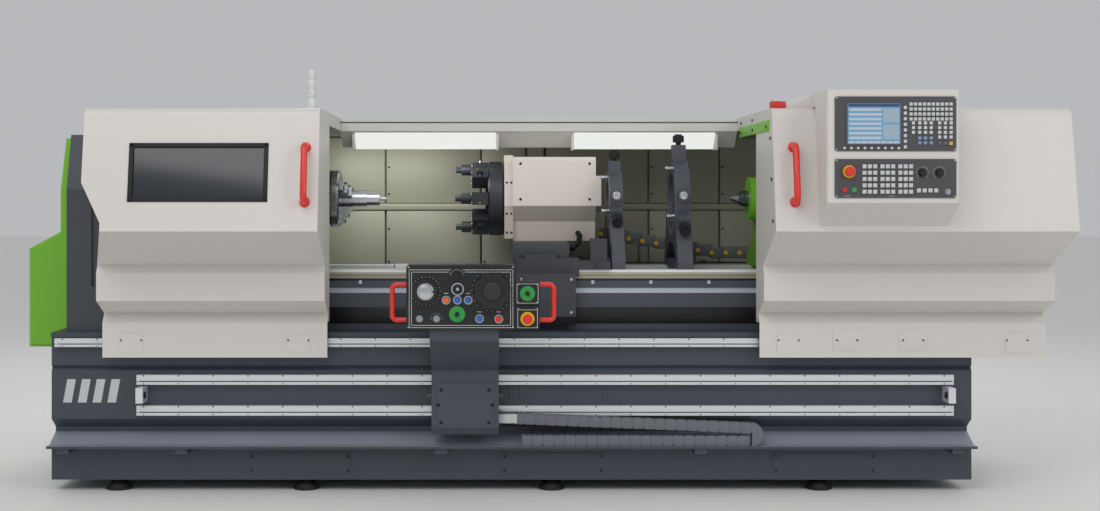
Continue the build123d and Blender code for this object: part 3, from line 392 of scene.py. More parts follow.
# Top beam: a pale folded-sheet beam that carries both covers, with two long lamps along its lower edge.
# Each lamp is a tray with end caps, and a soft light below them stands for what they throw on the wall.
# Powder coat on folded sheet: a fine even peel and a low sheen.
beam_paint = finish("powder_coat_pale_grey", "#D2D2CB", 0.45, grain_mm=4, bump=0.04, shade=0.04)
paint(beam_paint, "top_beam")


def glow(name, hex_value, strength):
    """A lit surface."""
    made = bpy.data.materials.new(name)
    made.use_nodes = True
    shader = made.node_tree.nodes["Principled BSDF"]
    shader.inputs["Base Color"].default_value = linear("#202020")
    shader.inputs["Emission Color"].default_value = linear(hex_value)
    shader.inputs["Emission Strength"].default_value = strength
    shader.inputs["Roughness"].default_value = 0.5
    return made


# The diffuser glows evenly in a slightly warm white, just short of clipping.
paint(glow("lamp_diffuser", "#F1F4EE", 0.92), "lamps")
bm = bmesh.new()
for x in (-0.745, 0.249):
    for low, high in ((x - 0.012, x), (x + 0.640, x + 0.652)):
        box(bm, (low, high), (0.098, 0.180), (1.448, 1.520), 0.002)
keep(bm, "lamp_end_caps", beam_paint, "machine")
bm = bmesh.new()
box(bm, (-0.998, 1.700), (0.0885, 0.0905), (1.5720, 1.5750))
keep(bm, "beam_track_line", dark_steel, "machine", smooth=False)
area_light("room_lamps", (-0.60, 0.20, 1.43), (-0.45, 0.60, 1.0), 0.7, 0.08, 2.2)

# Signal tower: a turned foot and post, screwed on the top beam, with three clear polycarbonate lens rings.
# The rings are stacked on a tube, and thin seams part them.
# Moulded plastic is smooth with a soft sheen, and an unlit clear lens looks pale grey and glossy.
pale_plastic = finish("pale_grey_plastic", "#C4C6C4", 0.4, grain_mm=2, bump=0.03, shade=0.03)
tower_x, tower_y, foot_z = -0.946, 0.140, 1.592
lens_pitch = 0.042
bm = bmesh.new()
bar(bm, (tower_x, tower_y, foot_z), (0, 0, 1), 0.041, 0.008, segments=48, bevel=0.002)
bar(bm, (tower_x, tower_y, foot_z + 0.008), (0, 0, 1), 0.0235, 0.085, segments=40, bevel=0.002)
for index in range(3):
    lens_z = foot_z + 0.094 + index * lens_pitch
    bar(bm, (tower_x, tower_y, lens_z), (0, 0, 1), 0.0215, 0.040, segments=40, bevel=0.0015)
bar(bm, (tower_x, tower_y, foot_z + 0.05), (0, 0, 1), 0.0195, 0.1695, segments=40, bevel=0.001)
clear_lens = finish("clear_lens", "#D8DAD8", 0.22, grain_mm=2, coat=0.5)
lenses = keep(bm, "tower_lenses", clear_lens, "machine")
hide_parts("signal_tower")

# Covers: two folded-sheet shells in warm white powder coat. The left one has a tinted polycarbonate window
# in a rubber profile. Small access plates on the skirts are held by a screw at each side.
# Powder coat on pressed sheet: warm white with a low sheen, so that each fold reads as a soft step in tone.
cover_paint = finish("powder_coat_warm_white", "#D5D1CB", 0.42, grain_mm=4, bump=0.04, shade=0.03)
paint(cover_paint, "left_cover", "right_cover", "control_box")
# Tinted polycarbonate looks near black from outside, with sharp reflections.
window_pane = bpy.data.materials.new("tinted_polycarbonate")
window_pane.use_nodes = True
for key, value in (
    ("Base Color", linear("#232C33")),
    ("Roughness", 0.08),
    ("Transmission Weight", 0.3),
    ("IOR", 1.58),
):
    window_pane.node_tree.nodes["Principled BSDF"].inputs[key].default_value = value
paint(window_pane, "left_window")
front_tilt = math.atan2(0.090, 0.490)
front_out = Vector((0, -math.cos(front_tilt), math.sin(front_tilt)))
front_down = Vector((0, -math.sin(front_tilt), -math.cos(front_tilt)))
front_edge = Vector((0, -0.740, 1.590))


def on_front(x, drop, out=0.0):
    """A point on a cover's sloped front, measured down from its top edge."""
    return front_edge + Vector((x, 0, 0)) + front_down * drop + front_out * out


on_slope = Matrix.Translation(front_edge) @ Matrix.Rotation(-front_tilt, 4, "X")
bm = bmesh.new()
left, right, top, bottom = -1.546, -1.019, 0.156, 0.369
for x, drop in (
    ((left - 0.012, right + 0.012), (top - 0.012, top + 0.006)),
    ((left - 0.012, right + 0.012), (bottom - 0.006, bottom + 0.012)),
    ((left - 0.012, left + 0.006), (top - 0.012, bottom + 0.012)),
    ((right - 0.006, right + 0.012), (top - 0.012, bottom + 0.012)),
):
    box(bm, x, (-0.004, 0), (-drop[1], -drop[0]), 0.0015, on_slope)
keep(bm, "window_seal", rubber, "left_cover_body")
bm = bmesh.new()
for x in (1.351, 1.625):
    box(bm, (x - 0.060, x + 0.060), (-0.4718, -0.4702), (0.598, 0.682), 0.0008)
keep(bm, "right_access_plates", cover_paint, "right_cover_body")
for side, places in (("left", (-1.622, -0.928)), ("right", (1.108, 1.351, 1.625, 2.057))):
    bm = bmesh.new()
    for x in places:
        for across in (-0.042, 0.042):
            screw(bm, (x + across, -0.4716, 0.640), (0, -1, 0), 0.004, 0.0025)
    keep(bm, side + "_plate_screws", dark_steel, side + "_cover_body")

# Interlock: a red safety switch with a pale head on the right cover's inner corner. Below it the cover's
# edge flange is held by dark screws.
# Moulded plastic: an even strong red with a soft sheen.
red_plastic = finish("red_switch_plastic", "#C5332A", 0.4, grain_mm=2)
bm = bmesh.new()
box(bm, (0.992, 1.052), (-0.700, -0.660), (1.5902, 1.618), 0.003)
keep(bm, "interlock_body", red_plastic, "right_cover_body")
bm = bmesh.new()
box(bm, (1.000, 1.030), (-0.698, -0.662), (1.618, 1.630), 0.002)
keep(bm, "interlock_head", pale_plastic, "right_cover_body")
bm = bmesh.new()
for z in (1.470, 1.305, 1.140):
    screw(bm, (0.9878, -0.690 - (1.590 - z) * 0.1837, z), (-1, 0, 0), 0.007, 0.004)
for y in (-0.30, -0.02):
    screw(bm, (0.9878, y, 1.562), (-1, 0, 0), 0.006, 0.004)
keep(bm, "right_flange_screws", dark_steel, "right_cover_body")

# Roller bracket: an enamelled steel angle, green as the belt guard is, at the right cover's roof edge.
# Three screws hold it on the cover's inner side.
bm = bmesh.new()
box(bm, (0.9846, 0.9882), (-0.690, 0.020), (1.500, 1.5445), 0.0008)
keep(bm, "roller_bracket", green_paint, "right_cover_body")
bm = bmesh.new()
for y in (-0.640, -0.320, -0.010):
    screw(bm, (0.9848, y, 1.519), (-1, 0, 0), 0.007, 0.004)
keep(bm, "roller_bracket_screws", dark_steel, "right_cover_body")

# Handles: bent steel tube with a red plastic coat. The cover pulls end in round feet screwed through the
# sheet, and the two short grips are fixed to the sides of the handwheel panel.
# The coat is thick and glossy, so that a long soft highlight follows each bend.
red_coat = finish("red_coated_tube", "#DE2F20", 0.35, grain_mm=4, bump=0.03, shade=0.04, coat=0.3)


def tube(bm, corners, flat, radius, bend, segments=24):
    """A round tube along a path in one plane, its corners bent on a radius. flat is the plane's normal."""
    flat = Vector(flat).normalized()
    points = [Vector(corner) for corner in corners]
    stations = [(points[0], (points[1] - points[0]).normalized())]
    for before, here, after in zip(points, points[1:], points[2:]):
        come, leave = (here - before).normalized(), (after - here).normalized()
        half = come.angle(leave) / 2
        start = here - come * bend * math.tan(half)
        inward = (leave - come * leave.dot(come)).normalized()
        for step in range(9):
            angle = 2 * half * step / 8
            at = start + come * bend * math.sin(angle) + inward * bend * (1 - math.cos(angle))
            stations.append((at, come * math.cos(angle) + inward * math.sin(angle)))
    stations.append((points[-1], (points[-1] - points[-2]).normalized()))
    rows = []
    for at, way in stations:
        side = way.cross(flat)
        turns = [math.tau * index / segments for index in range(segments)]
        rows.append([bm.verts.new(at + (flat * math.cos(a) + side * math.sin(a)) * radius) for a in turns])
    for low, high in zip(rows, rows[1:]):
        for index in range(segments):
            following = (index + 1) % segments
            bm.faces.new((low[index], low[following], high[following], high[index]))
    bm.faces.new(rows[0])
    bm.faces.new(rows[-1])


for side, x in (("left", -0.860), ("right", 1.066)):
    bm = bmesh.new()
    path = [on_front(x, 0.162), on_front(x, 0.162, 0.055), on_front(x, 0.382, 0.055), on_front(x, 0.382)]
    tube(bm, path, (1, 0, 0), 0.0135, 0.024)
    for drop in (0.162, 0.382):
        bar(bm, on_front(x, drop), front_out, 0.021, 0.005, segments=28, bevel=0.0015)
    pull = keep(bm, side + "_pull_tube", red_coat, side + "_cover_body")
    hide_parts(side + "_pull")
bm = bmesh.new()
for wall, side in ((-0.466, -1), (0.066, 1)):
    reach = wall + side * 0.058
    path = [(wall, -0.680, 0.884), (reach, -0.680, 0.884), (reach, -0.680, 0.742), (wall, -0.680, 0.742)]
    tube(bm, path, (0, 1, 0), 0.0100, 0.018)
grips = keep(bm, "grip_tubes", red_coat, "carriage")
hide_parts("pendant_grips")

# Control box: two graphite film panels on the right cover carry pale short-stroke keys, a screen behind
# glass, and a few round controls. The keys are moulded caps that stand a little proud of their strips.
# Film and black mouldings are dark and matt, the coloured caps are smooth, and brass is a warm bright metal.
panel_film = finish("graphite_panel_film", "#4A494C", 0.4, grain_mm=2, bump=0.03, shade=0.05)
black_plastic = finish("black_moulded_plastic", "#17181A", 0.42, grain_mm=2, bump=0.08, shade=0.1)
yellow_plastic = finish("yellow_plastic", "#E8B614", 0.35, grain_mm=2, bump=0.02, shade=0.02)
green_plastic = finish("green_plastic", "#2F9A45", 0.35, grain_mm=2, bump=0.02, shade=0.02)
brass = finish("brass", "#B08D3C", 0.3, metallic=1.0, grain_mm=3, bump=0.04)
white_print = finish("white_print", "#DADCDC", 0.5, grain_mm=2)
paint(panel_film, "display_panel", "machine_panel")
paint(black_plastic, "feed_knob", "speed_knob")
paint(red_coat, "control_stop_button")
paint(bright_steel, "key_switch")
panel_x, display_z, machine_z, plate_y = 1.419, 1.515, 1.306, -0.965
for name, hex_value, fields in (
    (
        "grey_keys",
        "#C4C6C4",
        [
            (36, display_z + 0.062, 1, 8, 0, 21.5, 12, 0),
            (-196, display_z - 0.093, 9, 1, 25.9, 0, 9, 0),
            (58, display_z + 0.075, 10, 4, 17, 19, 12, 0),
            (67, display_z + 0.003, 1, 3, 0, 18, 12, 0),
            (91, display_z + 0.003, 3, 3, 22, 18, 12, 0),
            (167, display_z + 0.003, 3, 4, 22, 18, 12, 0),
            (-120, machine_z + 0.046, 9, 5, 20.5, 24.2, 15, 7),
            (88, machine_z - 0.046, 4, 1, 22, 0, 15, 0),
        ],
    ),
    ("blue_keys", "#7F95B8", [(91, display_z - 0.055, 3, 2, 22, 18, 12, 0)]),
    ("dark_keys", "#5C6064", [(167, display_z - 0.075, 2, 1, 22, 0, 12, 0)]),
    ("yellow_key", "#E8B614", [(211, display_z - 0.075, 1, 1, 22, 0, 12, 0)]),
    ("stop_key", "#C8201C", [(-196, machine_z - 0.044, 1, 1, 37, 0, 17, 0)]),
    ("start_key", "#2F9A45", [(-159, machine_z - 0.044, 1, 1, 37, 0, 17, 0)]),
):
    bm = bmesh.new()
    for x0, z0, columns, rows, step_x, step_z, size, group_gap in fields:
        for index in range(columns * rows):
            column, row = index % columns, index // columns
            x = panel_x + (x0 + column * step_x + group_gap * (column // 3)) / 1000
            z = z0 - row * step_z / 1000
            half = size / 2000 + 0.0002
            across, up = (x - half, x + half), (z - half, z + half)
            box(bm, across, (plate_y - 0.0042, plate_y - 0.0028), up, 0.0008)
    cap_plastic = finish(name + "_plastic", hex_value, 0.4, grain_mm=2)
    keep(bm, name, cap_plastic, "right_cover_body")
bm = bmesh.new()
box(bm, (1.2355, 1.4365), (plate_y - 0.0016, plate_y - 0.0005), (1.4385, 1.5925))
keep(bm, "screen_glass", glow("screen", "#6FA9D8", 0.7), "right_cover_body", smooth=False)
for name, hex_value, strips in (
    ("screen_header", "#24507F", [((1.2375, 1.4345), (1.580, 1.591))]),
    (
        "screen_rows",
        "#DCEBF4",
        [((1.241, 1.365), (1.564 - 0.018 * i, 1.574 - 0.018 * i)) for i in range(7)],
    ),
    ("screen_side", "#B9D3E6", [((1.371, 1.432), (1.520, 1.574)), ((1.371, 1.432), (1.456, 1.512))]),
    (
        "screen_footer",
        "#E8EFF2",
        [((1.2395 + 0.0245 * i, 1.2605 + 0.0245 * i), (1.4405, 1.448)) for i in range(8)],
    ),
):
    bm = bmesh.new()
    for x, z in strips:
        box(bm, x, (plate_y - 0.0022, plate_y - 0.0015), z)
    keep(bm, name, glow(name + "_light", hex_value, 0.55), "right_cover_body", smooth=False)
bm = bmesh.new()
ring(bm, (panel_x - 0.179, plate_y - 0.0048, machine_z + 0.026), (0, -1, 0), 0.0245, 0.0085, 0.002)
keep(bm, "stop_ring", yellow_plastic, "right_cover_body")
tick_circle = 0.0205
bm = bmesh.new()
for x in (panel_x + 0.102, panel_x + 0.167):
    for index in range(19):
        angle = math.radians(-135 + 15 * index)
        across, up = math.sin(angle), math.cos(angle)
        at = (x + across * tick_circle, plate_y - 0.0002, machine_z + 0.022 + up * tick_circle)
        bar(bm, at, (across, 0, up), 0.0006, 0.0035 if index % 3 else 0.006, segments=5)
for x in (panel_x - 0.026, panel_x - 0.195):
    line = (machine_z - 0.068, machine_z - 0.067)
    box(bm, (x - 0.001, x + 0.02), (plate_y - 0.0006, plate_y + 0.0002), line)
keep(bm, "dial_ticks", white_print, "right_cover_body", smooth=False)
bm = bmesh.new()
ring(bm, (panel_x + 0.199, plate_y + 0.0002, machine_z - 0.051), (0, -1, 0), 0.0115, 0.0085, 0.002)
for z, half in ((display_z, 0.0985), (machine_z, 0.0685)):
    for x in (-0.226, 0.226):
        for up in (-half, half):
            screw(bm, (panel_x + x, plate_y, z + up), (0, -1, 0), 0.003, 0.0018)
for z in (1.26, 1.60):
    screw(bm, (1.650, -0.9600, z), (0, -1, 0), 0.004, 0.002)
keep(bm, "panel_screws", bright_steel, "right_cover_body")

# Handwheel panel: a moulded black box on the carriage, with a printed border and scales, lens caps in steel
# rims, two short sticks on green discs, and a stop button on a yellow disc.
paint(black_plastic, "pendant_box", "right_handwheel", "left_handwheel")
paint(black_plastic, "mode_selector", "feed_stick", "side_stick")
# Lens caps are clear plastic dyed through: glossy, with a deep even colour.
paint(finish("orange_lens_plastic", "#E8641A", 0.25, grain_mm=2, shade=0.02, coat=0.4), "button_orange")
blue_lens = finish("blue_lens_plastic", "#2C62B8", 0.25, grain_mm=2, shade=0.02, coat=0.4)
paint(blue_lens, "button_blue_left", "button_blue_right", "button_blue_low")
paint(red_coat, "pendant_stop_button", "button_red")
face_y = -0.722
bm = bmesh.new()
for inset in (0.0, 0.009):
    low_x, high_x, low_z, high_z = -0.455 + inset, -0.040 - inset, 0.7135 + inset, 0.9455 - inset
    for x, z in (
        ((low_x, high_x), (high_z - 0.0016, high_z)),
        ((low_x, high_x), (low_z, low_z + 0.0016)),
        ((low_x, low_x + 0.0016), (low_z, high_z)),
        ((high_x - 0.0016, high_x), (low_z, high_z)),
    ):
        box(bm, x, (face_y - 0.0005, face_y + 0.0002), z)
for x, z, radius, count, first, last, rise in (
    (-0.264, 0.919, 0.0245, 11, -75, 75, 0.0016),
    (-0.388, 0.859, 0.0555, 24, 0, 345, 0.0002),
    (-0.123, 0.862, 0.0800, 24, 0, 345, 0.0002),
    (-0.345, 0.749, 0.0200, 7, -90, 90, 0.0002),
):
    for index in range(count):
        angle = math.radians(first + (last - first) * index / (count - 1))
        across, up = math.sin(angle), math.cos(angle)
        at = (x + across * radius, face_y - rise, z + up * radius)
        bar(bm, at, (across, 0, up), 0.0008, 0.004, segments=5)
for x, z in ((-0.219, 0.851), (-0.262, 0.851), (-0.307, 0.851), (-0.174, 0.777), (-0.097, 0.777)):
    box(bm, (x - 0.009, x + 0.009), (face_y - 0.0004, face_y + 0.0002), (z - 0.001, z + 0.001))
for x, z, half in ((0.018, 0.850, 0.043), (0.018, 0.749, 0.040)):
    for side in (-1, 1):
        edge = sorted((side * half, side * (half - 0.0016)))
        box(bm, (x + edge[0], x + edge[1]), (-0.7154, -0.7148), (z - half + 0.004, z + half - 0.004))
        box(bm, (x - half, x + half), (-0.7154, -0.7148), (z + edge[0] * 0.91, z + edge[1] * 0.91))
keep(bm, "pendant_scales", white_print, "carriage", smooth=False)
bm = bmesh.new()
ring(bm, (-0.263, face_y - 0.0028, 0.768), (0, -1, 0), 0.032, 0.0095, 0.0016)
ring(bm, (0.0175, -0.7188, 0.850), (0, -1, 0), 0.030, 0.0095, 0.0016)
keep(bm, "stick_discs", green_plastic, "carriage")
bm = bmesh.new()
ring(bm, (0.0175, -0.7188, 0.749), (0, -1, 0), 0.028, 0.0085, 0.002)
keep(bm, "pendant_stop_ring", yellow_plastic, "carriage")
bm = bmesh.new()
for x, z in ((-0.307, 0.824), (-0.262, 0.824), (-0.219, 0.824), (-0.174, 0.750), (-0.097, 0.749)):
    ring(bm, (x, face_y + 0.0004, z), (0, -1, 0), 0.0172, 0.0135, 0.0028, segments=32)
ring(bm, (-0.261, face_y - 0.0098, 0.868), (0, -1, 0), 0.0255, 0.021, 0.0016)
bar(bm, (-0.261, face_y - 0.0098, 0.868), (0, -1, 0), 0.006, 0.004, bevel=0.001)
for x, z in ((-0.457, 0.955), (-0.040, 0.955), (-0.457, 0.716), (-0.040, 0.716)):
    screw(bm, (x, -0.7198, z), (0, -1, 0), 0.0035, 0.002)
for low, high in ((0.814, 0.886), (0.715, 0.789)):
    for x in (-0.020, 0.056):
        for z in (low, high):
            screw(bm, (x, -0.7149, z), (0, -1, 0), 0.003, 0.0018)
keep(bm, "button_rims", bright_steel, "carriage")
bm = bmesh.new()
for x in (-0.413, -0.345):
    bar(bm, (x, face_y + 0.0002, 0.749), (0, -1, 0), 0.0145, 0.003, segments=28, bevel=0.001)
    bar(bm, (x, face_y - 0.0026, 0.749), (0, -1, 0), 0.0125, 0.006, segments=28, bevel=0.002)
keep(bm, "grey_lamp_caps", finish("grey_lens", "#8D9296", 0.25, grain_mm=2, coat=0.4), "carriage")
bm = bmesh.new()
bar(bm, (-0.388, -0.7575, 0.859), (0, -1, 0), 0.0265, 0.003, segments=40, bevel=0.001)
ring(bm, (-0.388, -0.7520, 0.859), (0, -1, 0), 0.0335, 0.027, 0.0015)
keep(bm, "left_wheel_hub", bright_steel, "left_handwheel_body")
bm = bmesh.new()
bar(bm, (-0.123, -0.7655, 0.862), (0, -1, 0), 0.036, 0.0035, segments=40, bevel=0.0012)
# A soft-touch moulding: matt, and a little lighter than the wheel around it.
soft_cap = finish("soft_black_cap", "#26282A", 0.5, grain_mm=2)
keep(bm, "right_wheel_cap", soft_cap, "right_handwheel_body")

# Carriage apron: a welded box in blue-grey enamel with a screwed front plate. Rubber bumpers stand on both
# ends, at the height of the rail's end stops.
# The same enamel as the base, a shade lighter, with a soft sheen.
apron_paint = finish("apron_enamel", "#434850", 0.45, grain_mm=5, bump=0.06, shade=0.06)
paint(apron_paint, "apron")
bm = bmesh.new()
for z, places in ((0.440, (-0.333, -0.137)), (0.378, (-0.345, -0.122)), (0.306, (-0.333, -0.137))):
    for x in places:
        bar(bm, (x, -0.5236, z), (0, -1, 0), 0.0075, 0.0012, segments=20)
        screw(bm, (x, -0.5246, z), (0, -1, 0), 0.0050, 0.0024)
keep(bm, "apron_screws", dark_steel, "carriage")
bm = bmesh.new()
for x, way in ((-0.3735, -1), (-0.0955, 1)):
    bar(bm, (x, -0.466, 0.411), (way, 0, 0), 0.0155, 0.008, bevel=0.002)
    bar(bm, (x + way * 0.0078, -0.466, 0.411), (way, 0, 0), 0.0138, 0.0092, bevel=0.002)
keep(bm, "apron_bumpers", rubber, "carriage")

# Cable chain: moulded nylon links with two side plates, pin bosses and open cross bars, ended by a bolted
# bracket. The lower run lies on the ledge and the upper run follows the panel.
# Filled nylon: dark grey and matt, with a slight sheen along the edges.
chain_nylon = finish("grey_black_chain_nylon", "#666A70", 0.5, grain_mm=2, bump=0.05)
link_pitch = 0.045


def chain_link(bm, place, slope, length=link_pitch):
    """One link with its own turn about the pin axis, standing on a point of the run's lower line."""
    turn = Matrix.Translation(place) @ Matrix.Rotation(slope, 4, "Y")
    half = length / 2
    for y in (-0.4755, -0.4405):
        box(bm, (-half + 0.0025, half - 0.0045), (y, y + 0.005), (0.0006, 0.0434), 0.0008, turn)
        box(bm, (-half * 0.50, half * 0.42), (y - 0.0004, y + 0.0055), (0.007, 0.037), 0.001, turn)
        box(bm, (half - 0.0065, half + 0.0035), (y + 0.0014, y + 0.0040), (0.004, 0.040), 0.0005, turn)
        bar(bm, (half - 0.0015, y - 0.0003, 0.022), (0, 1, 0), 0.0068, 0.0056, segments=16, turn=turn)
    for z in (0.0008, 0.0392):
        box(bm, (-0.006, 0.006), (-0.4745, -0.4355), (z, z + 0.004), 0.001, turn)


bm = bmesh.new()
for index in range(21):
    chain_link(bm, (0.0215 + index * link_pitch, 0, 0.201), 0)
lower = keep(bm, "chain_lower_links", chain_nylon, None)
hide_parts("cable_chain_lower")
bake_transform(lower)
upper_left, upper_run, upper_high, upper_drop = -0.0795, 1.035, 0.294, 0.041
bm = bmesh.new()
chain_slope = math.atan2(upper_drop, upper_run)
for index in range(23):
    share = (index + 0.5) * link_pitch / upper_run
    place = (upper_left + share * upper_run, 0, upper_high - upper_drop * share)
    chain_link(bm, place, chain_slope)
upper = keep(bm, "chain_upper_links", chain_nylon, None)
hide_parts("cable_chain_upper")
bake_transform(upper)
paint(chain_nylon, "cable_chain_loop")
bm = bmesh.new()
box(bm, (-0.0955, -0.0200), (-0.4795, -0.4757), (0.297, 0.334), 0.001)
keep(bm, "chain_end_bracket", pale_plastic, "carriage")
bm = bmesh.new()
for x in (-0.075, -0.040):
    for z in (0.306, 0.325):
        screw(bm, (x, -0.4794, z), (0, -1, 0), 0.0042, 0.003)
keep(bm, "chain_end_screws", bright_steel, "carriage")

# Bed: an iron casting with hardened, ground ways. Along its front lie a beige band, a dark strip whose
# bright screws hold the way, and a pale band above the painted casting.
# The casting's enamel is matt. The ground ways above it are near white: partly their own bright steel,
# partly a painted reflection of the light.
casting_enamel, ground_ways = ("#484D55", 0.5, 0.0), ("#F0F1F3", 0.32, 0.3)
paint(banded("bed_casting_and_ground_ways", "Z", 0.9, casting_enamel, ground_ways), "bed")
for name, hex_value, front, z in (
    ("bed_edge_beige", "#B5AD98", -0.2548, (0.9012, 0.9120)),
    ("bed_band_beige", "#B5AD98", -0.2455, (0.8850, 0.9008)),
    ("bed_screw_strip", "#1D1F23", -0.2445, (0.8535, 0.8848)),
    ("bed_band_pale", "#BFC6D0", -0.2435, (0.8215, 0.8532)),
    ("bed_channel_shadow", "#101112", -0.2410, (0.6900, 0.7610)),
):
    bm = bmesh.new()
    box(bm, (-0.998, 1.795), (front, -0.2395), z, 0.0008)
    keep(bm, name, finish(name, hex_value, 0.45, grain_mm=5), "machine")
bm = bmesh.new()
x = -0.94
while x < 1.75:
    screw(bm, (x, -0.2444, 0.8690), (0, -1, 0), 0.008, 0.004)
    x += 0.25
keep(bm, "bed_screws", bright_steel, "machine")

# Chuck: a turned steel body with grooves around its rim and rings on its face. Each of the three jaws is
# hardened, with gripping teeth and two screws that hold it on its slide.
paint(bright_steel, "chuck", "test_piece", "chuck_jaw_1", "chuck_jaw_2", "chuck_jaw_3")
bm = bmesh.new()
for radius in (0.119, 0.098, 0.074):
    ring(bm, (-0.8004, 0, axis_z), (1, 0, 0), radius, radius - 0.003, 0.0012, segments=64)
ring(bm, (-0.884, 0, axis_z), (1, 0, 0), 0.1262, 0.1245, 0.012, segments=64)
ring(bm, (-0.838, 0, axis_z), (1, 0, 0), 0.1262, 0.1245, 0.006, segments=64)
keep(bm, "chuck_rings", dark_steel, "spindle")
for number, degrees in ((1, 270), (2, 30), (3, 150)):
    angle = math.radians(degrees)
    out = Vector((0, math.cos(angle), math.sin(angle)))
    side = Vector((0, -math.sin(angle), math.cos(angle)))
    bm = bmesh.new()
    screw(bm, Vector((-0.7785, 0, axis_z)) + out * 0.100, (1, 0, 0), 0.0075, 0.004)
    screw(bm, Vector((-0.7620, 0, axis_z)) + out * 0.075, (1, 0, 0), 0.0075, 0.004)
    for tooth in range(5):
        at = Vector((-0.7905 + 0.0085 * tooth, 0, axis_z)) + out * 0.0385
        bar(bm, at - side * 0.019, side, 0.0024, 0.038, segments=3)
    keep(bm, f"jaw_{number}_screws_and_teeth", dark_steel, f"jaw_body_{number}")

# Turret: a phosphated disc whose eight stations hold clamped tools, with a nozzle beside each and
# gold-coloured inserts in the turning tools. Its sheet housing is one beige, screwed at the edges, and is
# painted lighter above and darker below: painted light on its upper face, painted shade on the slanted
# lower sheet.
# Phosphate leaves steel dark and dull, slightly mottled.
turret_steel = finish("phosphated_steel", "#3A3D42", 0.4, metallic=0.3, grain_mm=3, bump=0.06)
paint(turret_steel, "turret_disc", "tool_holders")
# Painted light and shade: the housing's beige is lit above z 1.195 and shaded below it.
turret_painted_light_and_shade = banded("turret_sheet_housing", "Z", 1.195, ("#C2BAAD", 0.5, 0.0), ("#EAE2D8", 0.4, 0.0))
paint(turret_painted_light_and_shade, "turret_housing")
turret_y = 0.230
centre = Vector((-0.213, turret_y, axis_z))
bm = bmesh.new()
for index in range(8):
    angle = math.radians(45 * index)
    out = Vector((0, math.cos(angle), math.sin(angle)))
    side = Vector((0, -math.sin(angle), math.cos(angle)))
    for across in (-0.018, 0.018):
        screw(bm, centre + out * 0.148 + side * across, (-1, 0, 0), 0.006, 0.004)
        screw(bm, centre + out * 0.112 + side * across, (-1, 0, 0), 0.006, 0.004)
    nozzle = centre + Vector((0.036, 0, 0)) + out * 0.163 + side * 0.020
    bar(bm, nozzle, out, 0.005, 0.012, tip=0.003, bevel=0.0008)
keep(bm, "station_screws", bright_steel, "turret")
bm = bmesh.new()
for index in range(1, 8, 2):
    angle = math.radians(45 * index)
    out = Vector((0, math.cos(angle), math.sin(angle)))
    bar(bm, Vector((-0.189, turret_y, axis_z)) + out * 0.1825, out, 0.0085, 0.0048, segments=3)
keep(bm, "tool_inserts", brass, "turret")
bm = bmesh.new()
for z in (1.075, 1.160, 1.300, 1.390):
    for x in (-0.056, -0.036):
        screw(bm, (x, 0.0565 if z < 1.37 else 0.062, z), (0, -1, 0), 0.005, 0.003)
for x in (0.005, 0.315):
    for z in (1.225, 1.385):
        screw(bm, (x, 0.0302, z), (0, -1, 0), 0.006, 0.003)
keep(bm, "housing_screws", dark_steel, "slide_body")

# Saddle and cross slide: dark oiled castings, with rubber wipers at the ways, a folded guard strip towards
# the chuck and bright screws on the saddle's apron.
# Oil darkens the rough skin of a casting and gives it a broken sheen.
casting = finish("oiled_dark_casting", "#3A3D43", 0.5, grain_mm=7, bump=0.12, shade=0.1)
paint(casting, "saddle", "cross_slide")
bm = bmesh.new()
box(bm, (0.3800, 0.3855), (-0.268, -0.168), (0.9235, 0.952), 0.001)
box(bm, (-0.030, -0.0235), (-0.268, -0.168), (0.9235, 0.960), 0.002)
keep(bm, "way_wipers", rubber, "saddle_body")
bm = bmesh.new()
box(bm, (-0.540, -0.0235), (-0.2645, -0.2622), (0.929, 0.949), 0.0008)
keep(bm, "way_guard_strip", cover_paint, "saddle_body")
bm = bmesh.new()
for x in (0.0, 0.213):
    for z in (0.885, 0.815, 0.745):
        screw(bm, (x, -0.3298 if z < 0.80 else -0.3238, z), (0, -1, 0), 0.006, 0.004)
keep(bm, "apron_cover_screws", bright_steel, "saddle_body")

# Coolant hose: a short corrugated rubber hose from the turret housing down to the saddle's block. It is
# drawn as rings of two widths by turns, along four points.
hose_points = [(0.262, 0.060, 1.075), (0.270, 0.020, 1.060), (0.262, -0.020, 1.030), (0.235, -0.055, 1.006)]
bm = bmesh.new()
for index in range(22):
    share = index / 21 * (len(hose_points) - 1)
    step = min(int(share), len(hose_points) - 2)
    way = Vector(hose_points[step + 1]) - Vector(hose_points[step])
    here = Vector(hose_points[step]) + way * (share - step)
    bar(bm, here, way, 0.012 if index % 2 else 0.0095, 0.0068, segments=16)
keep(bm, "coolant_hose", rubber, "slide_body")

# Tailstock: green enamel over cast iron, with a ground quill of tool steel that carries the centre. The
# casting got its paint with the belt guard, so only the quill is left.
# Ground tool steel is darker than turned steel, with faint rings and a clean highlight.
tool_steel = finish("ground_tool_steel", "#7D8288", 0.28, metallic=1.0, grain_mm=6, stretch=(1, 0.2, 0.2))
paint(tool_steel, "quill")

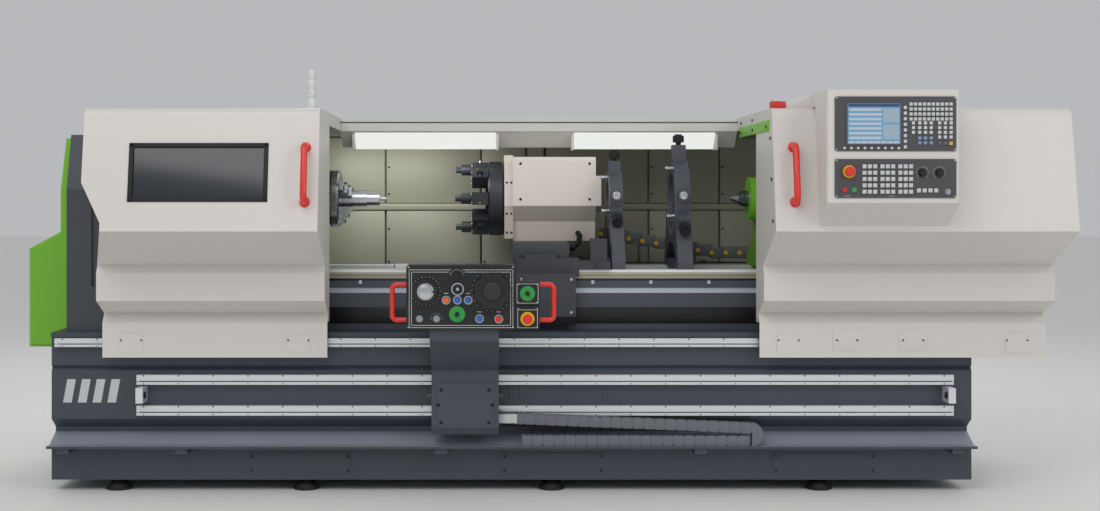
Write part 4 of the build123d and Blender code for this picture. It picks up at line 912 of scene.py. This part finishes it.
# Steady rests: dark blue-grey castings with bright turned ring faces. Each jaw has a moulded knob with grip
# ribs, and bright screws with crossbars clamp it from the side.
# Enamel straight on a sand casting, so that the rough skin shows through.
rest_paint = finish("casting_enamel_blue_grey", "#4B4F57", 0.5, grain_mm=7, bump=0.12, shade=0.1)
paint(rest_paint, "steady_rest_1", "steady_rest_2")
for number, x, width, radius in ((1, 0.393, 0.058, 0.118), (2, 0.676, 0.066, 0.168)):
    body = f"rest_body_{number}"
    paint(dark_steel, *[f"steady_{number}_jaw_{side}" for side in ("top", "front", "rear")])
    middle = Vector((x + width / 2, 0, axis_z))
    bm = bmesh.new()
    for at in (x - 0.0006, x + width - 0.0006):
        ring(bm, (at, 0, axis_z), (1, 0, 0), radius * 0.97, radius * 0.76, 0.0012, segments=72)
    for y, z in ((-radius * 0.35, axis_z + radius * 0.8), (-radius * 0.72, axis_z - radius * 0.45)):
        bar(bm, (x + 0.001, y, z), (-1, 0, 0), 0.0073, 0.035, segments=24, bevel=0.001)
        bar(bm, (x - 0.030, y - 0.0243, z), (0, 1, 0), 0.0053, 0.0486, segments=20, bevel=0.001)
    knob = (x + width / 2, -radius * 1.1 - 0.008, 1.242)
    bar(bm, knob, (0, -1, 0), 0.017, 0.002, segments=32, bevel=0.0006)
    keep(bm, f"steady_{number}_ring_faces_and_wing_screws", bright_steel, body)
    bm = bmesh.new()
    for side in (-1, 1):
        for y in (-0.215, 0.215):
            screw(bm, (x + width / 2 + side * width * 0.3, y, 0.957), (0, 0, 1), 0.008, 0.006)
    keep(bm, f"steady_{number}_foot_screws", dark_steel, body)
    for side_name, degrees in (("top", 90), ("front", 210), ("rear", 330)):
        angle = math.radians(degrees)
        out = Vector((0, math.cos(angle), math.sin(angle)))
        side = Vector((0, -math.sin(angle), math.cos(angle)))
        base = middle + out * (radius * 1.42 + 0.014)
        bm = bmesh.new()
        for index in range(14):
            turn = math.tau * index / 14
            rim = side * math.cos(turn) + Vector((1, 0, 0)) * math.sin(turn)
            bar(bm, base + rim * 0.0225, out, 0.0026, 0.026, segments=8)
        jaw_body = f"rest_{number}_{side_name}_jaw"
        keep(bm, f"steady_{number}_{side_name}_knob_ribs", black_plastic, jaw_body)

# Rear chain: the turret's cables run in a nylon chain with yellow pin plugs, in a folded tray behind the
# bed. Brackets hold the tray on the wall.
rear_chain_left, rear_pitch = 0.42, 0.065
bm = bmesh.new()
plugs = bmesh.new()
for index in range(18):
    x = rear_chain_left + rear_pitch * index
    z = 1.035 - 0.011 * index if index < 9 else 0.947
    box(bm, (x - 0.034, x + 0.034), (0.330, 0.338), (z, z + 0.053), 0.003)
    box(bm, (x - 0.034, x + 0.034), (0.392, 0.400), (z, z + 0.053), 0.003)
    for low in (0.0005, 0.0475):
        box(bm, (x - 0.007, x + 0.007), (0.331, 0.399), (z + low, z + low + 0.005), 0.001)
    bar(plugs, (x - 0.0325, 0.3305, z + 0.0265), (0, -1, 0), 0.0105, 0.004, segments=20, bevel=0.0008)
for x in (0.44, 0.57, 0.70, 0.83):
    box(bm, (x - 0.004, x + 0.004), (0.340, 0.390), (0.928, 1.035 - (x - rear_chain_left) * 0.169), 0.001)
keep(bm, "rear_chain", chain_nylon, "machine")
keep(plugs, "rear_chain_plugs", yellow_plastic, "machine")
bm = bmesh.new()
box(bm, (0.38, 1.78), (0.325, 0.405), (0.925, 0.929), 0.001)
for x in (0.42, 0.90, 1.35, 1.74):
    box(bm, (x - 0.010, x + 0.010), (0.404, 0.630), (0.925, 0.929), 0.001)
keep(bm, "rear_chain_tray", dark_steel, "machine")
